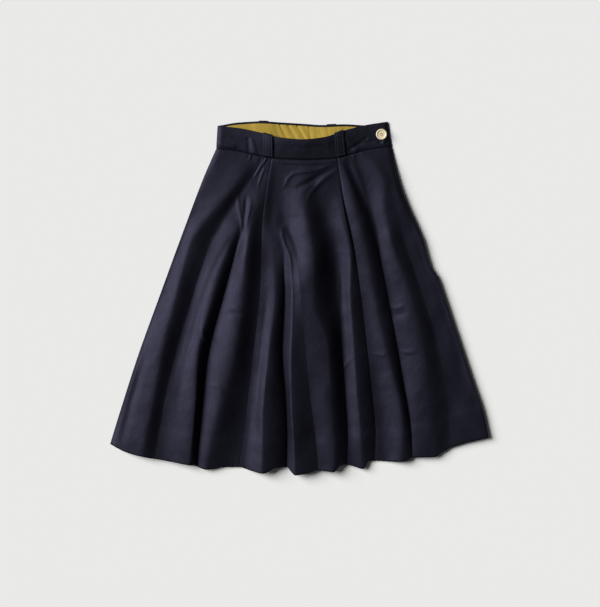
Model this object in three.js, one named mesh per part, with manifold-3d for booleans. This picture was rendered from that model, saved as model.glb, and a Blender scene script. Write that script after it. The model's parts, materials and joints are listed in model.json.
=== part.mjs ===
// A knee-length circle skirt of heavy cotton satin, laid out on its back on a table.
// It is cut in six gores, three in front and three behind, hung from a shaped waistband that is faced
// inside and carries four belt loops. The band buttons at the side, and a concealed zip runs down the
// side seam below it. The hem is too full to lie flat, so it stands in long flutes that run down from
// the waist.
//
// Millimetres. +X is to the right as the skirt is looked down on, +Y points to the waist and +Z is up
// from the table. The back gores lie on the table and the front gores lie on them.
//
// Two shares place a point on the cloth. across runs from the left side edge, 0, to the right, 1.
// down runs from the waist seam, 0, to the hem, 1.
import * as THREE from "three";
import { mergeVertices } from "three/addons/utils/BufferGeometryUtils.js";
import Module from "manifold-3d";

const wasm = await Module();
wasm.setup();

// ---- Driving sizes --------------------------------------------------------------------------------
const CLOTH = 1.2; // wall of the shell cloth
const FACING = 1.0; // wall of the waistband's facing
const LOOP = 1.2; // wall of a folded belt loop
const ZIP = 1.0; // wall of the zip's tape
const GAP = 0.3; // between pieces that are sewn to each other or lie on each other
const WAIST_GAP = 0.7; // the same along Y at the waist seam, where the band tilts towards the gores
const LOOP_WIDTH = 17;
const LOOP_PAST_TOP = 3; // how far a loop's end stands past the band's top edge
const LOOP_BOW = 1.6; // how far a front loop bows off the band between its two ends
const BUTTON_RADIUS = 10.3;
const BUTTON_ACROSS = 0.952;
const BUTTON_DOWN_BAND = 0.47; // share of the band's height, from its top edge
const ZIP_LENGTH = 200;
const SIDE_ROLL = 22; // how far in from the right side edge the cloth curls up off the table
const BACK_HEM_TUCK = 8; // how far the back hem stops short of the front hem
const BACK_RISES = 0.4; // share of a tall flute's height that the back cloth rises under it
const BACK_SOFT_FOOT = 10; // height of the low folds that the back cloth hardly follows
const BACK_LEAVES_TABLE = 0.38; // share of the way down to the hem where the back starts to rise
const BACK_FULLY_RISEN = 0.75;

// Heights of the middles of the walls above the table.
const BACK_LIES = CLOTH / 2;
const FRONT_LIES = 1.5 * CLOTH + GAP;
const BAND_LIES = 1.5 * CLOTH + 2 * FACING + 3 * GAP;
const ZIP_LIFTS = ZIP + 2 * GAP;

// ---- Outline --------------------------------------------------------------------------------------
const LEFT_EDGE = [
  { down: 0.0, x: -157.5 },
  { down: 0.1, x: -182.0 },
  { down: 0.3, x: -224.5 },
  { down: 0.5, x: -265.5 },
  { down: 0.7, x: -306.0 },
  { down: 0.9, x: -342.0 },
  { down: 1.0, x: -359.0 },
];
const RIGHT_EDGE = [
  { down: 0.0, x: 175.0 },
  { down: 0.08, x: 184.0 },
  { down: 0.16, x: 196.5 },
  { down: 0.3, x: 229.5 },
  { down: 0.45, x: 262.5 },
  { down: 0.6, x: 290.5 },
  { down: 0.8, x: 327.5 },
  { down: 0.91, x: 348.0 },
  { down: 1.0, x: 359.0 },
];
// The zip stiffens the right edge. Just above its end the edge is drawn in, and below it springs out.
const ZIP_DRAWS_IN = [
  { down: 0.32, by: 0.0 },
  { down: 0.41, by: 5.5 },
  { down: 0.45, by: 0.0 },
];
const BAND_TOP_LEFT = -155.0;
const BAND_TOP_RIGHT = 168.0;

// The waistband. front_top and back_top are its top edge, seam is where the front gores join it, and the
// two lifts are how far the front rises off its resting height, where the mouth gapes.
const BAND = [
  { across: 0.0, front_top: 324.0, seam: 282.0, back_top: 324.0, top_lift: 0.0, seam_lift: 0.0 },
  { across: 0.125, front_top: 319.5, seam: 277.0, back_top: 330.5, top_lift: 1.0, seam_lift: 0.6 },
  { across: 0.25, front_top: 310.5, seam: 268.0, back_top: 332.5, top_lift: 5.0, seam_lift: 2.0 },
  { across: 0.375, front_top: 300.0, seam: 262.0, back_top: 330.5, top_lift: 11.0, seam_lift: 3.6 },
  { across: 0.5, front_top: 296.5, seam: 260.5, back_top: 328.0, top_lift: 13.5, seam_lift: 4.5 },
  { across: 0.625, front_top: 301.0, seam: 261.5, back_top: 325.5, top_lift: 11.0, seam_lift: 4.0 },
  { across: 0.75, front_top: 315.0, seam: 269.0, back_top: 327.0, top_lift: 5.0, seam_lift: 2.6 },
  { across: 0.875, front_top: 325.5, seam: 280.5, back_top: 325.0, top_lift: 1.0, seam_lift: 1.0 },
  { across: 1.0, front_top: 332.0, seam: 286.0, back_top: 330.0, top_lift: 0.0, seam_lift: 0.0 },
];
const BAND_HEIGHT = 42;

// ---- Flutes ---------------------------------------------------------------------------------------
// Every column of numbers below is read at these shares of the way down.
const DOWNS = [0, 0.1, 0.2, 0.25, 0.3, 0.45, 0.6, 0.8, 1];

// The valleys between the flutes of the front: how far across each lies, how far it lies above the
// cloth's resting height, and the hem's y there. The gores meet at the two that are seams. The
// right side stands off the table, where the zip and both seam allowances are rolled under.
const VALLEYS = [
  {
    name: "left_side", hem: -278.5,
    across: [0, 0, 0, 0, 0, 0, 0, 0, 0],
    lift: [0, 0, 0, 0, 0, 0, 0, 0, 0],
  },
  {
    name: "first", hem: -306,
    across: [0.292, 0.22, 0.162, 0.14, 0.122, 0.11, 0.107, 0.109, 0.119],
    lift: [0, 0, 0, 0, 0.5, 2, 3.5, 4.5, 5.5],
  },
  {
    name: "second", hem: -321.5,
    across: [0.303, 0.266, 0.248, 0.24, 0.232, 0.217, 0.207, 0.214, 0.231],
    lift: [0, 2, 9, 5, 1, 0, 0, 0, 0],
  },
  {
    name: "left_seam", hem: -322,
    across: [0.317, 0.324, 0.329, 0.332, 0.338, 0.348, 0.349, 0.346, 0.341],
    lift: [0, 3, 5, 5, 5, 5, 4, 1.5, 0],
  },
  {
    name: "third", hem: -321.5,
    across: [0.4, 0.415, 0.425, 0.425, 0.428, 0.44, 0.441, 0.46, 0.467],
    lift: [0, 0, 1, 6, 6.5, 1, 0, 0, 0],
  },
  {
    name: "split", hem: -327,
    across: [0.48, 0.485, 0.487, 0.487, 0.487, 0.5, 0.515, 0.533, 0.55],
    lift: [0, 3.7, 9.7, 12.5, 14.5, 20, 18, 13, 7],
  },
  {
    name: "fourth", hem: -317.5,
    across: [0.575, 0.6, 0.63, 0.64, 0.642, 0.64, 0.637, 0.634, 0.626],
    lift: [0, 4, 5.5, 4, 2, 0, 0, 0.5, 1.5],
  },
  {
    name: "right_seam", hem: -310,
    across: [0.69, 0.712, 0.721, 0.723, 0.723, 0.718, 0.716, 0.712, 0.701],
    lift: [0, 3, 7, 8, 8, 5, 4, 1, 0],
  },
  {
    name: "fifth", hem: -303.5,
    across: [0.768, 0.818, 0.824, 0.823, 0.821, 0.813, 0.812, 0.808, 0.799],
    lift: [0, 0, 0, 0, 0, 0, 0, 0.8, 3],
  },
  {
    name: "sixth", hem: -274,
    across: [0.9, 0.955, 0.945, 0.94, 0.937, 0.945, 0.953, 0.955, 0.945],
    lift: [0, 8.5, 8.5, 7.2, 5.5, 4, 4, 4, 4],
  },
  {
    name: "right_side", hem: -266,
    across: [1, 1, 1, 1, 1, 1, 1, 1, 1],
    lift: [0, 4, 6, 6, 6, 6, 6, 6, 6],
  },
];
// One flute stands between each valley and the next: where its crest runs and how high. left and right
// are its flanks' forms: at the foot near the waist, at the foot near the hem, and at the crest. A foot
// under 0 starts steeply and one over 0 softly, and a large number at the crest turns over sharply. hem is
// the hem's y half way up the left flank, at the crest and half way down the right flank.
const FLUTES = [
  {
    name: "left", left: [0.5, 0, 4], right: [0.2, 0.3, 3],
    hem: [-293, -301, -304],
    across: [0.2, 0.17, 0.098, 0.065, 0.045, 0.053, 0.06, 0.075, 0.084],
    lift: [0, 5, 6.8, 6.8, 6.3, 9.3, 12, 12.5, 11],
  },
  {
    name: "left_middle", left: [0.1, 1.2, 3], right: [-0.3, 0.2, 2.5],
    hem: [-311.5, -317, -318.5],
    across: [0.297, 0.248, 0.238, 0.22, 0.2, 0.18, 0.172, 0.196, 0.21],
    lift: [0, 1.5, 7, 9, 9, 13, 16, 17, 13],
  },
  {
    name: "left_inner", left: [0, -0.2, 3], right: [0.5, 0.5, 2.5],
    hem: [-324.5, -326.5, -321.5],
    across: [0.309, 0.298, 0.28, 0.275, 0.276, 0.288, 0.288, 0.269, 0.256],
    lift: [0, 3, 10.5, 14, 17, 15.5, 17.5, 14.5, 5.5],
  },
  {
    name: "centre_left", left: [1, 1.2, 5], right: [0, -0.3, 1.5],
    hem: [-328.5, -333, -323],
    across: [0.35, 0.362, 0.37, 0.378, 0.39, 0.405, 0.4, 0.394, 0.405],
    lift: [0, 0.5, 2.5, 5.5, 6.5, 11, 13.5, 16.5, 13],
  },
  {
    name: "centre_sharp", left: [0.5, -0.3, 6], right: [0, 0, 5],
    hem: [-330, -336.5, -333],
    across: [0.43, 0.44, 0.446, 0.452, 0.46, 0.471, 0.471, 0.477, 0.49],
    lift: [0, 0.5, 3, 8, 11.5, 16.5, 21, 20, 14],
  },
  {
    name: "centre_broad", left: [0, 0.3, 2.5], right: [0.9, 0, 2.5],
    hem: [-329, -330.5, -318.5],
    across: [0.53, 0.53, 0.54, 0.547, 0.553, 0.54, 0.588, 0.59, 0.59],
    lift: [0, 7, 17, 20.5, 23.5, 22, 19.5, 18, 12],
  },
  {
    name: "centre_right", left: [1.1, 0.6, 4], right: [0, -0.2, 3],
    hem: [-321, -325, -310],
    across: [0.63, 0.695, 0.709, 0.709, 0.707, 0.681, 0.677, 0.67, 0.668],
    lift: [0, 4, 12, 13.5, 13, 11, 10.5, 10, 6],
  },
  {
    name: "right_inner", left: [0, 1.4, 3], right: [-0.1, -0.2, 2],
    hem: [-311, -311.5, -309],
    across: [0.72, 0.752, 0.768, 0.77, 0.77, 0.767, 0.774, 0.787, 0.77],
    lift: [0, 6, 12, 13, 13, 10.5, 11, 12.5, 8],
  },
  {
    name: "right_outer", left: [1, -0.2, 3], right: [0.1, 0.2, 1.2],
    hem: [-301, -303.5, -288.5],
    across: [0.84, 0.93, 0.9, 0.885, 0.873, 0.874, 0.863, 0.84, 0.825],
    lift: [0, 9.5, 10.5, 10, 10, 8.5, 9.5, 7.5, 4],
  },
  {
    name: "right_edge", left: [0.9, 1.2, 1], right: [0, 0, 1],
    hem: [-271.5, -269, -267.3],
    across: [0.95, 0.975, 0.97, 0.968, 0.966, 0.97, 0.976, 0.978, 0.972],
    lift: [0, 8.2, 9, 8, 7, 6, 5.5, 5, 5],
  },
];
const LOOPS = [
  { name: "belt_loop_front_left", across: 0.297, front: true },
  { name: "belt_loop_front_right", across: 0.712, front: true },
  { name: "belt_loop_back_left", across: 0.268, front: false },
  { name: "belt_loop_back_right", across: 0.668, front: false },
];

// ---- Colours --------------------------------------------------------------------------------------
const NAVY = new THREE.MeshStandardMaterial({ color: 0x23243a, roughness: 0.55, metalness: 0 });
const MUSTARD = new THREE.MeshStandardMaterial({ color: 0xb09a3a, roughness: 0.75, metalness: 0 });
const PEARL = new THREE.MeshStandardMaterial({ color: 0xe2d6b8, roughness: 0.25, metalness: 0 });
const TAPE = new THREE.MeshStandardMaterial({ color: 0x1a1b2c, roughness: 0.8, metalness: 0 });

// ---- Helpers --------------------------------------------------------------------------------------
const lerp = THREE.MathUtils.lerp;
const ease = (x) => THREE.MathUtils.smoothstep(x, 0, 1);

// A smooth curve through the values y at the places x, with no overshoot.
function curve(x, y) {
  const last = x.length - 1;
  const slope = x.slice(1).map((value, i) => (y[i + 1] - y[i]) / (value - x[i]));
  const tangent = x.map((_, i) => {
    if (i === 0) return slope[0];
    if (i === last) return slope[last - 1];
    if (slope[i - 1] * slope[i] <= 0) return 0;
    return (2 * slope[i - 1] * slope[i]) / (slope[i - 1] + slope[i]);
  });
  return (at) => {
    const k = THREE.MathUtils.clamp(x.filter((value) => value <= at).length - 1, 0, last - 1);
    const width = x[k + 1] - x[k];
    const t = THREE.MathUtils.clamp((at - x[k]) / width, 0, 1);
    const rest = 1 - t;
    return (
      rest * rest * (1 + 2 * t) * y[k] +
      t * t * (3 - 2 * t) * y[k + 1] +
      rest * rest * t * width * tangent[k] -
      t * t * rest * width * tangent[k + 1]
    );
  };
}

// The same through two columns of a table.
function curveOf(rows, from, to) {
  return curve(
    rows.map((row) => row[from]),
    rows.map((row) => row[to]),
  );
}

// The numbers from 0 to 1 in n steps, closer together towards both ends if crowded.
function steps(n, crowded = false) {
  const even = Array.from({ length: n + 1 }, (_, i) => i / n);
  return crowded ? even.map((t) => (1 - Math.cos(Math.PI * t)) / 2) : even;
}

// A closed wall round a grid of points, grid[row][column], with rows that run down the cloth and columns
// that run to the right. The cloth's outer face is the one that looks up.
function wall(grid, thickness) {
  const rows = grid.length;
  const columns = grid[0].length;
  const normals = normalsOf(grid);
  const corners = [];
  for (const side of [1, -1]) {
    grid.forEach((row, j) =>
      row.forEach((point, i) => {
        corners.push(point.clone().addScaledVector(normals[j][i], (side * thickness) / 2));
      }),
    );
  }
  const top = (j, i) => j * columns + i;
  const under = (j, i) => rows * columns + top(j, i);
  const faces = [];
  const quad = (a, b, c, d) => faces.push(a, b, c, a, c, d);
  for (let j = 0; j < rows - 1; j++) {
    for (let i = 0; i < columns - 1; i++) {
      quad(top(j, i), top(j + 1, i), top(j + 1, i + 1), top(j, i + 1));
      quad(under(j, i), under(j, i + 1), under(j + 1, i + 1), under(j + 1, i));
    }
    quad(top(j, 0), under(j, 0), under(j + 1, 0), top(j + 1, 0));
    quad(top(j, columns - 1), top(j + 1, columns - 1), under(j + 1, columns - 1), under(j, columns - 1));
  }
  for (let i = 0; i < columns - 1; i++) {
    quad(top(0, i), top(0, i + 1), under(0, i + 1), under(0, i));
    quad(top(rows - 1, i), under(rows - 1, i), under(rows - 1, i + 1), top(rows - 1, i + 1));
  }
  const geometry = new THREE.BufferGeometry().setFromPoints(corners);
  geometry.setIndex(faces);
  geometry.computeVertexNormals();
  return geometry;
}

// The upward normal at each point of a grid. It is straight up along the side edges, so that walls that
// meet at a seam stay clear of each other.
function normalsOf(grid) {
  return grid.map((row, j) =>
    row.map((_, i) => {
      if (i === 0 || i === row.length - 1) return new THREE.Vector3(0, 0, 1);
      const above = grid[Math.max(j - 1, 0)][i];
      const below = grid[Math.min(j + 1, grid.length - 1)][i];
      const right = row[i + 1].clone().sub(row[i - 1]);
      return below.clone().sub(above).cross(right).normalize();
    }),
  );
}

// The same grid moved out of its cloth by a distance, or into it if that is negative.
function movedOut(grid, distance) {
  const normals = normalsOf(grid);
  return grid.map((row, j) =>
    row.map((point, i) => point.clone().addScaledVector(normals[j][i], distance)),
  );
}

// ---- The outline and the hem ----------------------------------------------------------------------
const leftEdge = curveOf(LEFT_EDGE, "down", "x");
const rightEdge = curveOf(RIGHT_EDGE, "down", "x");
const zipDrawsIn = curveOf(ZIP_DRAWS_IN, "down", "by");
const bandTopFront = curveOf(BAND, "across", "front_top");
const bandTopBack = curveOf(BAND, "across", "back_top");
const seamFront = curveOf(BAND, "across", "seam");
const topLift = curveOf(BAND, "across", "top_lift");
const seamLift = curveOf(BAND, "across", "seam_lift");

const seamBack = (across) => bandTopBack(across) - BAND_HEIGHT;

// Where the cloth would lie with no flutes.
function plan(across, down, waist, hem) {
  const drawnIn = zipDrawsIn(down) * ease((across - 0.93) / 0.07);
  const x = lerp(leftEdge(down), rightEdge(down), across) - drawnIn;
  return new THREE.Vector3(x, lerp(waist, hem, down), 0);
}

// ---- The front gores ------------------------------------------------------------------------------
const valleyAt = VALLEYS.map((valley) => curve(DOWNS, valley.across));
const valleyLift = VALLEYS.map((valley) => curve(DOWNS, valley.lift));
const crestAt = FLUTES.map((flute) => curve(DOWNS, flute.across));
const crestLift = FLUTES.map((flute) => curve(DOWNS, flute.lift));
const sideLift = valleyLift[valleyLift.length - 1];

// The hem's y, counting one for each flute from the left side.
const hemHeights = FLUTES.flatMap((flute, k) => [VALLEYS[k].hem, ...flute.hem]);
hemHeights.push(VALLEYS[FLUTES.length].hem);
const hemLine = curve(
  hemHeights.map((_, i) => i / 4),
  hemHeights,
);

// The part of a crest's height that is reached at a share of the way to it from its valley.
function flank(share, down, [footNearWaist, footNearHem, turn]) {
  const foot = 1 + lerp(footNearWaist, footNearHem, ease(down * 1.6 - 0.3));
  const crest = foot + turn;
  return (share ** foot / foot - share ** crest / crest) / (1 / foot - 1 / crest);
}

// The share t of flute k's width: how far across it is, and its lift.
function flutePlace(k, t, down) {
  const share = 1 - Math.abs(2 * t - 1);
  const valley = t < 0.5 ? k : k + 1;
  const shape = flank(share, down, t < 0.5 ? FLUTES[k].left : FLUTES[k].right);
  const across = lerp(valleyAt[valley](down), crestAt[k](down), share);
  return { across, lift: lerp(valleyLift[valley](down), crestLift[k](down), shape) };
}

// How far the valleys are held off the back cloth, by the waistband above them and by the zip under them,
// and how far the right side's roll lifts what lies on the table.
function heldUpByBand(across, down) {
  return (BAND_LIES + seamLift(across) - FRONT_LIES) * (1 - ease(down / 0.22));
}

function heldUpByZip(across, down) {
  return ZIP_LIFTS * ease((across - 0.86) / 0.08) * (1 - ease((down - 0.37) / 0.06));
}

function heldUpAtSide(x, down) {
  return sideLift(down) * (1 - ease((rightEdge(down) - x) / SIDE_ROLL));
}

// The middle of the front cloth at the share t of flute k's width.
function frontPoint(k, t, down) {
  const { across, lift } = flutePlace(k, t, down);
  const point = plan(across, down, seamFront(across), hemLine(k + t));
  const rests = heldUpByZip(across, down) + heldUpAtSide(point.x, down);
  point.z = FRONT_LIES + Math.max(heldUpByBand(across, down) + lift, rests);
  return point;
}

// A row of a gore, drawn in by half the gap at its two seams, and at the waist seam in the first row.
function letIn(row, down) {
  row[0].x += GAP / 2;
  row[row.length - 1].x -= GAP / 2;
  if (down === 0) row.forEach((point) => (point.y -= WAIST_GAP / 2));
  return row;
}

// A gore from one seam to the next, over the flutes first to last.
function frontGore(first, last) {
  const downs = steps(20).map((t) => t ** 1.12);
  return downs.map((down) => {
    const row = [];
    for (let k = first; k <= last; k++) {
      for (const t of steps(6, true)) {
        if (t > 0 || k === first) row.push(frontPoint(k, t, down));
      }
    }
    return letIn(row, down);
  });
}

// ---- The back gores -------------------------------------------------------------------------------
// How far the back band and the cloth below it are lifted by the two loops that lie under them.
function liftOverLoops(across, down) {
  const near = LOOPS.filter((loop) => !loop.front).map((loop) => {
    const away = Math.abs(across - loop.across) * (BAND_TOP_RIGHT - BAND_TOP_LEFT) - LOOP_WIDTH / 2;
    return 1 - ease((away - 4) / 16);
  });
  return (LOOP + GAP) * Math.max(...near) * (1 - ease(down / 0.07));
}

// The middle of the back cloth under the share t of flute k's width. It follows the tall folds above it,
// lower, and lies flat on the table under the low ones.
function backPoint(k, t, down) {
  const { across, lift } = flutePlace(k, t, down);
  const tuck = BACK_HEM_TUCK * Math.sqrt(Math.max(Math.sin(Math.PI * across), 0));
  const point = plan(across, down, seamBack(across), hemLine(k + t) + tuck);
  const grown = ease((down - BACK_LEAVES_TABLE) / (BACK_FULLY_RISEN - BACK_LEAVES_TABLE));
  const rise = (BACK_RISES * grown * lift ** 2) / (lift + BACK_SOFT_FOOT);
  point.z = BACK_LIES + Math.max(rise, heldUpAtSide(point.x, down)) + liftOverLoops(across, down);
  return point;
}

// The back gore under the flutes first to last.
function backGore(first, last) {
  return [0, 0.03, 0.07, 0.2, 0.32, 0.41, 0.46, 0.6, 0.75, 0.9, 1].map((down) => {
    const row = [];
    for (let k = first; k <= last; k++) {
      for (const t of steps(4, true)) {
        if (t > 0 || k === first) row.push(backPoint(k, t, down));
      }
    }
    return letIn(row, down);
  });
}

// ---- The waistband, its facing and its loops ------------------------------------------------------
function bandX(across, share) {
  const left = lerp(BAND_TOP_LEFT, leftEdge(0), share);
  const right = lerp(BAND_TOP_RIGHT, rightEdge(0), share);
  return lerp(left, right, across);
}

// The middle of the front band at a share of its height from the top edge.
function bandFrontPoint(across, share) {
  const lift = lerp(topLift(across), seamLift(across), share);
  const y = lerp(bandTopFront(across), seamFront(across) + WAIST_GAP / 2, share);
  return new THREE.Vector3(bandX(across, share), y, BAND_LIES + lift);
}

function bandBackPoint(across, share) {
  const y = lerp(bandTopBack(across), seamBack(across) + WAIST_GAP / 2, share);
  return new THREE.Vector3(bandX(across, share), y, BACK_LIES + liftOverLoops(across, 0));
}

const BAND_COLUMNS = 24;
const BAND_ROWS = 2;

function bandGrid(pointAt) {
  return steps(BAND_ROWS).map((share) => steps(BAND_COLUMNS).map((across) => pointAt(across, share)));
}

const outOfBand = (CLOTH + LOOP) / 2 + 2 * GAP;
const intoBand = (CLOTH + FACING) / 2 + GAP;

// A belt loop: a strip over the band's face, sewn down at both ends. The back ones lie on the table.
function beltLoop({ across, front }) {
  const pointAt = front ? bandFrontPoint : bandBackPoint;
  const half = LOOP_WIDTH / 2 / (BAND_TOP_RIGHT - BAND_TOP_LEFT);
  const past = LOOP_PAST_TOP / BAND_HEIGHT;
  const shares = steps(6).map((t) => lerp(-past, 0.98, t));
  const strip = shares.map((share) =>
    [-half, -half / 3, half / 3, half].map((off) => {
      const point = pointAt(across + off, share);
      const bow = LOOP_BOW * Math.sin(Math.PI * THREE.MathUtils.clamp(share, 0, 1));
      point.z = front ? point.z + outOfBand + bow : LOOP / 2;
      return point;
    }),
  );
  return wall(strip, LOOP);
}

// ---- The zip --------------------------------------------------------------------------------------
function zipTape() {
  const hem = VALLEYS[VALLEYS.length - 1].hem;
  const grid = steps(10).map((t) => {
    const down = lerp(0.01, ZIP_LENGTH / (seamFront(1) - hem), t);
    const y = lerp(seamFront(1), hem, down);
    return [-26, -16, -10, -5].map((inside) => {
      const x = rightEdge(down) + inside;
      return new THREE.Vector3(x, y, CLOTH + 2 * GAP + ZIP / 2 + heldUpAtSide(x, down));
    });
  });
  return wall(grid, ZIP);
}

// ---- The button -----------------------------------------------------------------------------------
function solidOf(geometry) {
  const bare = geometry.clone();
  bare.deleteAttribute("normal");
  bare.deleteAttribute("uv");
  const merged = mergeVertices(bare, 1e-3);
  return new wasm.Manifold(
    new wasm.Mesh({
      numProp: 3,
      vertProperties: merged.attributes.position.array,
      triVerts: new Uint32Array(merged.index.array),
    }),
  );
}

function geometryOf(solid) {
  const { vertProperties, triVerts } = solid.getMesh();
  const geometry = new THREE.BufferGeometry();
  geometry.setAttribute("position", new THREE.BufferAttribute(new Float32Array(vertProperties), 3));
  geometry.setIndex(new THREE.BufferAttribute(new Uint32Array(triVerts), 1));
  geometry.computeVertexNormals();
  return geometry;
}

// A dished round button with a raised rim and four sewing holes. Its underside is at z 0.
function button() {
  const thickness = 3.2;
  const dish = 1.2;
  const rim = 2.6;
  const holeRadius = 0.9;
  const holeOut = 1.9;
  const profile = [
    new THREE.Vector2(0, 0),
    new THREE.Vector2(BUTTON_RADIUS - 2.2, 0),
    new THREE.Vector2(BUTTON_RADIUS - 0.5, 0.9),
    new THREE.Vector2(BUTTON_RADIUS, 1.8),
    new THREE.Vector2(BUTTON_RADIUS - 0.4, 2.8),
    new THREE.Vector2(BUTTON_RADIUS - rim / 2, thickness),
    new THREE.Vector2(BUTTON_RADIUS - rim, 2.8),
    new THREE.Vector2(BUTTON_RADIUS - rim - 1, thickness - dish),
    new THREE.Vector2(0, thickness - dish),
  ];
  let solid = solidOf(new THREE.LatheGeometry(profile, 28).rotateX(Math.PI / 2));
  for (let quarter = 0; quarter < 4; quarter++) {
    const angle = Math.PI / 4 + (quarter * Math.PI) / 2;
    const hole = new THREE.CylinderGeometry(holeRadius, holeRadius, 4 * thickness, 10)
      .rotateX(Math.PI / 2)
      .translate(holeOut * Math.cos(angle), holeOut * Math.sin(angle), 0);
    solid = solid.subtract(solidOf(hole));
  }
  return geometryOf(solid);
}

// ---- The skirt ------------------------------------------------------------------------------------
const skirt = new THREE.Group();

function add(name, geometry, material) {
  const mesh = new THREE.Mesh(geometry, material);
  mesh.name = name;
  skirt.add(mesh);
  return mesh;
}

const frontBand = bandGrid(bandFrontPoint);
const backBand = bandGrid(bandBackPoint);

add("front_gore_left", wall(frontGore(0, 2), CLOTH), NAVY);
add("front_gore_centre", wall(frontGore(3, 6), CLOTH), NAVY);
add("front_gore_right", wall(frontGore(7, 9), CLOTH), NAVY);
add("back_gore_left", wall(backGore(0, 2), CLOTH), NAVY);
add("back_gore_centre", wall(backGore(3, 6), CLOTH), NAVY);
add("back_gore_right", wall(backGore(7, 9), CLOTH), NAVY);
add("waistband_front", wall(frontBand, CLOTH), NAVY);
add("waistband_back", wall(backBand, CLOTH), NAVY);
add("facing_front", wall(movedOut(frontBand, -intoBand), FACING), MUSTARD);
add("facing_back", wall(movedOut(backBand, intoBand), FACING), MUSTARD);
LOOPS.forEach((loop) => add(loop.name, beltLoop(loop), NAVY));
add("side_zip", zipTape(), TAPE);

const seat = bandFrontPoint(BUTTON_ACROSS, BUTTON_DOWN_BAND);
seat.z += CLOTH / 2 + 2 * GAP;
add("button", button(), PEARL).position.copy(seat);

// The origin is on the table, under the middle of the skirt's box.
const box = new THREE.Box3().setFromObject(skirt);
const middle = box.getCenter(new THREE.Vector3());
skirt.position.set(-middle.x, -middle.y, -box.min.z);

export default skirt;
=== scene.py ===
# %% [markdown]
# # A circle skirt laid out flat
#
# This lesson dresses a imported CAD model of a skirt. The CAD model has the right size and place but plain
# walls. Here each wall is replaced by a finer sheet of cloth on the same form, and gets its folds, its
# seams, its stitches and its finish.
#
# Everything is worked out in millimetres, as a pattern cutter works, and turned into metres only when a
# mesh is made.

import json
import math

import bmesh
import bpy
import numpy as np
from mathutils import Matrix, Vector


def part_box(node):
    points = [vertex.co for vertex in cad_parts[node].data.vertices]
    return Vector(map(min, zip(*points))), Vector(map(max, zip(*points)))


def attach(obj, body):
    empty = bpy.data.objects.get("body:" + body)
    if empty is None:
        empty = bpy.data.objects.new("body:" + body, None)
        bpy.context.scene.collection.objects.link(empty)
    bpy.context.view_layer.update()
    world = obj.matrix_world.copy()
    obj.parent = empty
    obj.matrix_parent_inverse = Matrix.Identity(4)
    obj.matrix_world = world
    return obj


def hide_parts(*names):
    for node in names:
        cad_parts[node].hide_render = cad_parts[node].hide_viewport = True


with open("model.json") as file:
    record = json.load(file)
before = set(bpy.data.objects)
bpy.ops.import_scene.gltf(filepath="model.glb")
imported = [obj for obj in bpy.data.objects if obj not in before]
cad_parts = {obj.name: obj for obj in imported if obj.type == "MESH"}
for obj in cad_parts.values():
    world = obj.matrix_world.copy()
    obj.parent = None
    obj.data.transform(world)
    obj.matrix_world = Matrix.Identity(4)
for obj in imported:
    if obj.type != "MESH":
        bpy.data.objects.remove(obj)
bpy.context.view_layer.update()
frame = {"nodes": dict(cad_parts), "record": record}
MM = 0.001

# %% [markdown]
# ## Sizes
#
# The sizes are those of the real skirt: a 650 mm waist, a 42 mm band and 595 mm of cloth below it. The
# button's place in the frame tells how far the pattern's own origin lies from the frame's.

# %% Sizes of the cloth
# the walls, and the gap between pieces that lie on each other
CLOTH = 0.9
FACING = 0.8
GAP = 0.3
# how high the front and its band lie, and how far the zip lifts the front
FRONT_LIES = 2.1
BAND_LIES = 4.7
ZIP_LIFTS = 1.6
BAND_HEIGHT = 42.0
# x at the two ends of the band's top edge
BAND_TOP = (-155.0, 168.0)
BAND_WIDTH = BAND_TOP[1] - BAND_TOP[0]
WAIST_GAP = 0.7
HEM_DEPTH = 50.0
LOOP_WIDTH = 17.0
LOOP_PAST_TOP = 3.0
# the width of the roll at the right side, and the button's place as shares across and down the band
SIDE_ROLL = 22.0
BUTTON_ACROSS = 0.952
BUTTON_DOWN_BAND = 0.47

# %% [markdown]
# ## Curves through short tables
#
# A skirt's outline is drawn through a few known widths. A cubic that never overshoots its points keeps
# the line as fair as a pattern cutter's curve, and one row of a table is enough for each known place.


# %% A fair curve
def curve(at, values):
    """A function of a smooth curve through the values at the places at."""
    x, y = np.array(at, float), np.array(values, float)
    slope = np.diff(y) / np.diff(x)
    tangent = np.concatenate([slope[:1], np.zeros(len(x) - 2), slope[-1:]])
    for i in range(1, len(x) - 1):
        if slope[i - 1] * slope[i] > 0:
            tangent[i] = 2 * slope[i - 1] * slope[i] / (slope[i - 1] + slope[i])

    def value(place):
        place = np.asarray(place, float)
        k = np.clip(np.searchsorted(x, place, side="right") - 1, 0, len(x) - 2)
        width = x[k + 1] - x[k]
        t = np.clip((place - x[k]) / width, 0, 1)
        rest = 1 - t
        return (
            rest**2 * (1 + 2 * t) * y[k]
            + t**2 * (3 - 2 * t) * y[k + 1]
            + rest**2 * t * width * tangent[k]
            - t**2 * rest * width * tangent[k + 1]
        )

    return value


def lerp(a, b, t):
    return a + (b - a) * t


def ease(t):
    t = np.clip(t, 0, 1)
    return t * t * (3 - 2 * t)


def bump(t):
    """1 at t = 0, falling smoothly to 0 at t = 1 and -1."""
    return 0.5 * (1 + np.cos(np.pi * np.clip(np.abs(t), 0, 1)))


# %% The outline of the skirt
# down runs from the waist seam, 0, to the hem, 1. across runs from the left edge, 0, to the right, 1.
left_edge = curve(
    [0, 0.1, 0.3, 0.5, 0.7, 0.9, 1],
    [-157.5, -182, -224.5, -265.5, -306, -342, -359],
)
right_edge = curve(
    [0, 0.08, 0.16, 0.3, 0.45, 0.6, 0.8, 0.91, 1],
    [175, 184, 196.5, 229.5, 262.5, 290.5, 327.5, 348, 359],
)
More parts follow.
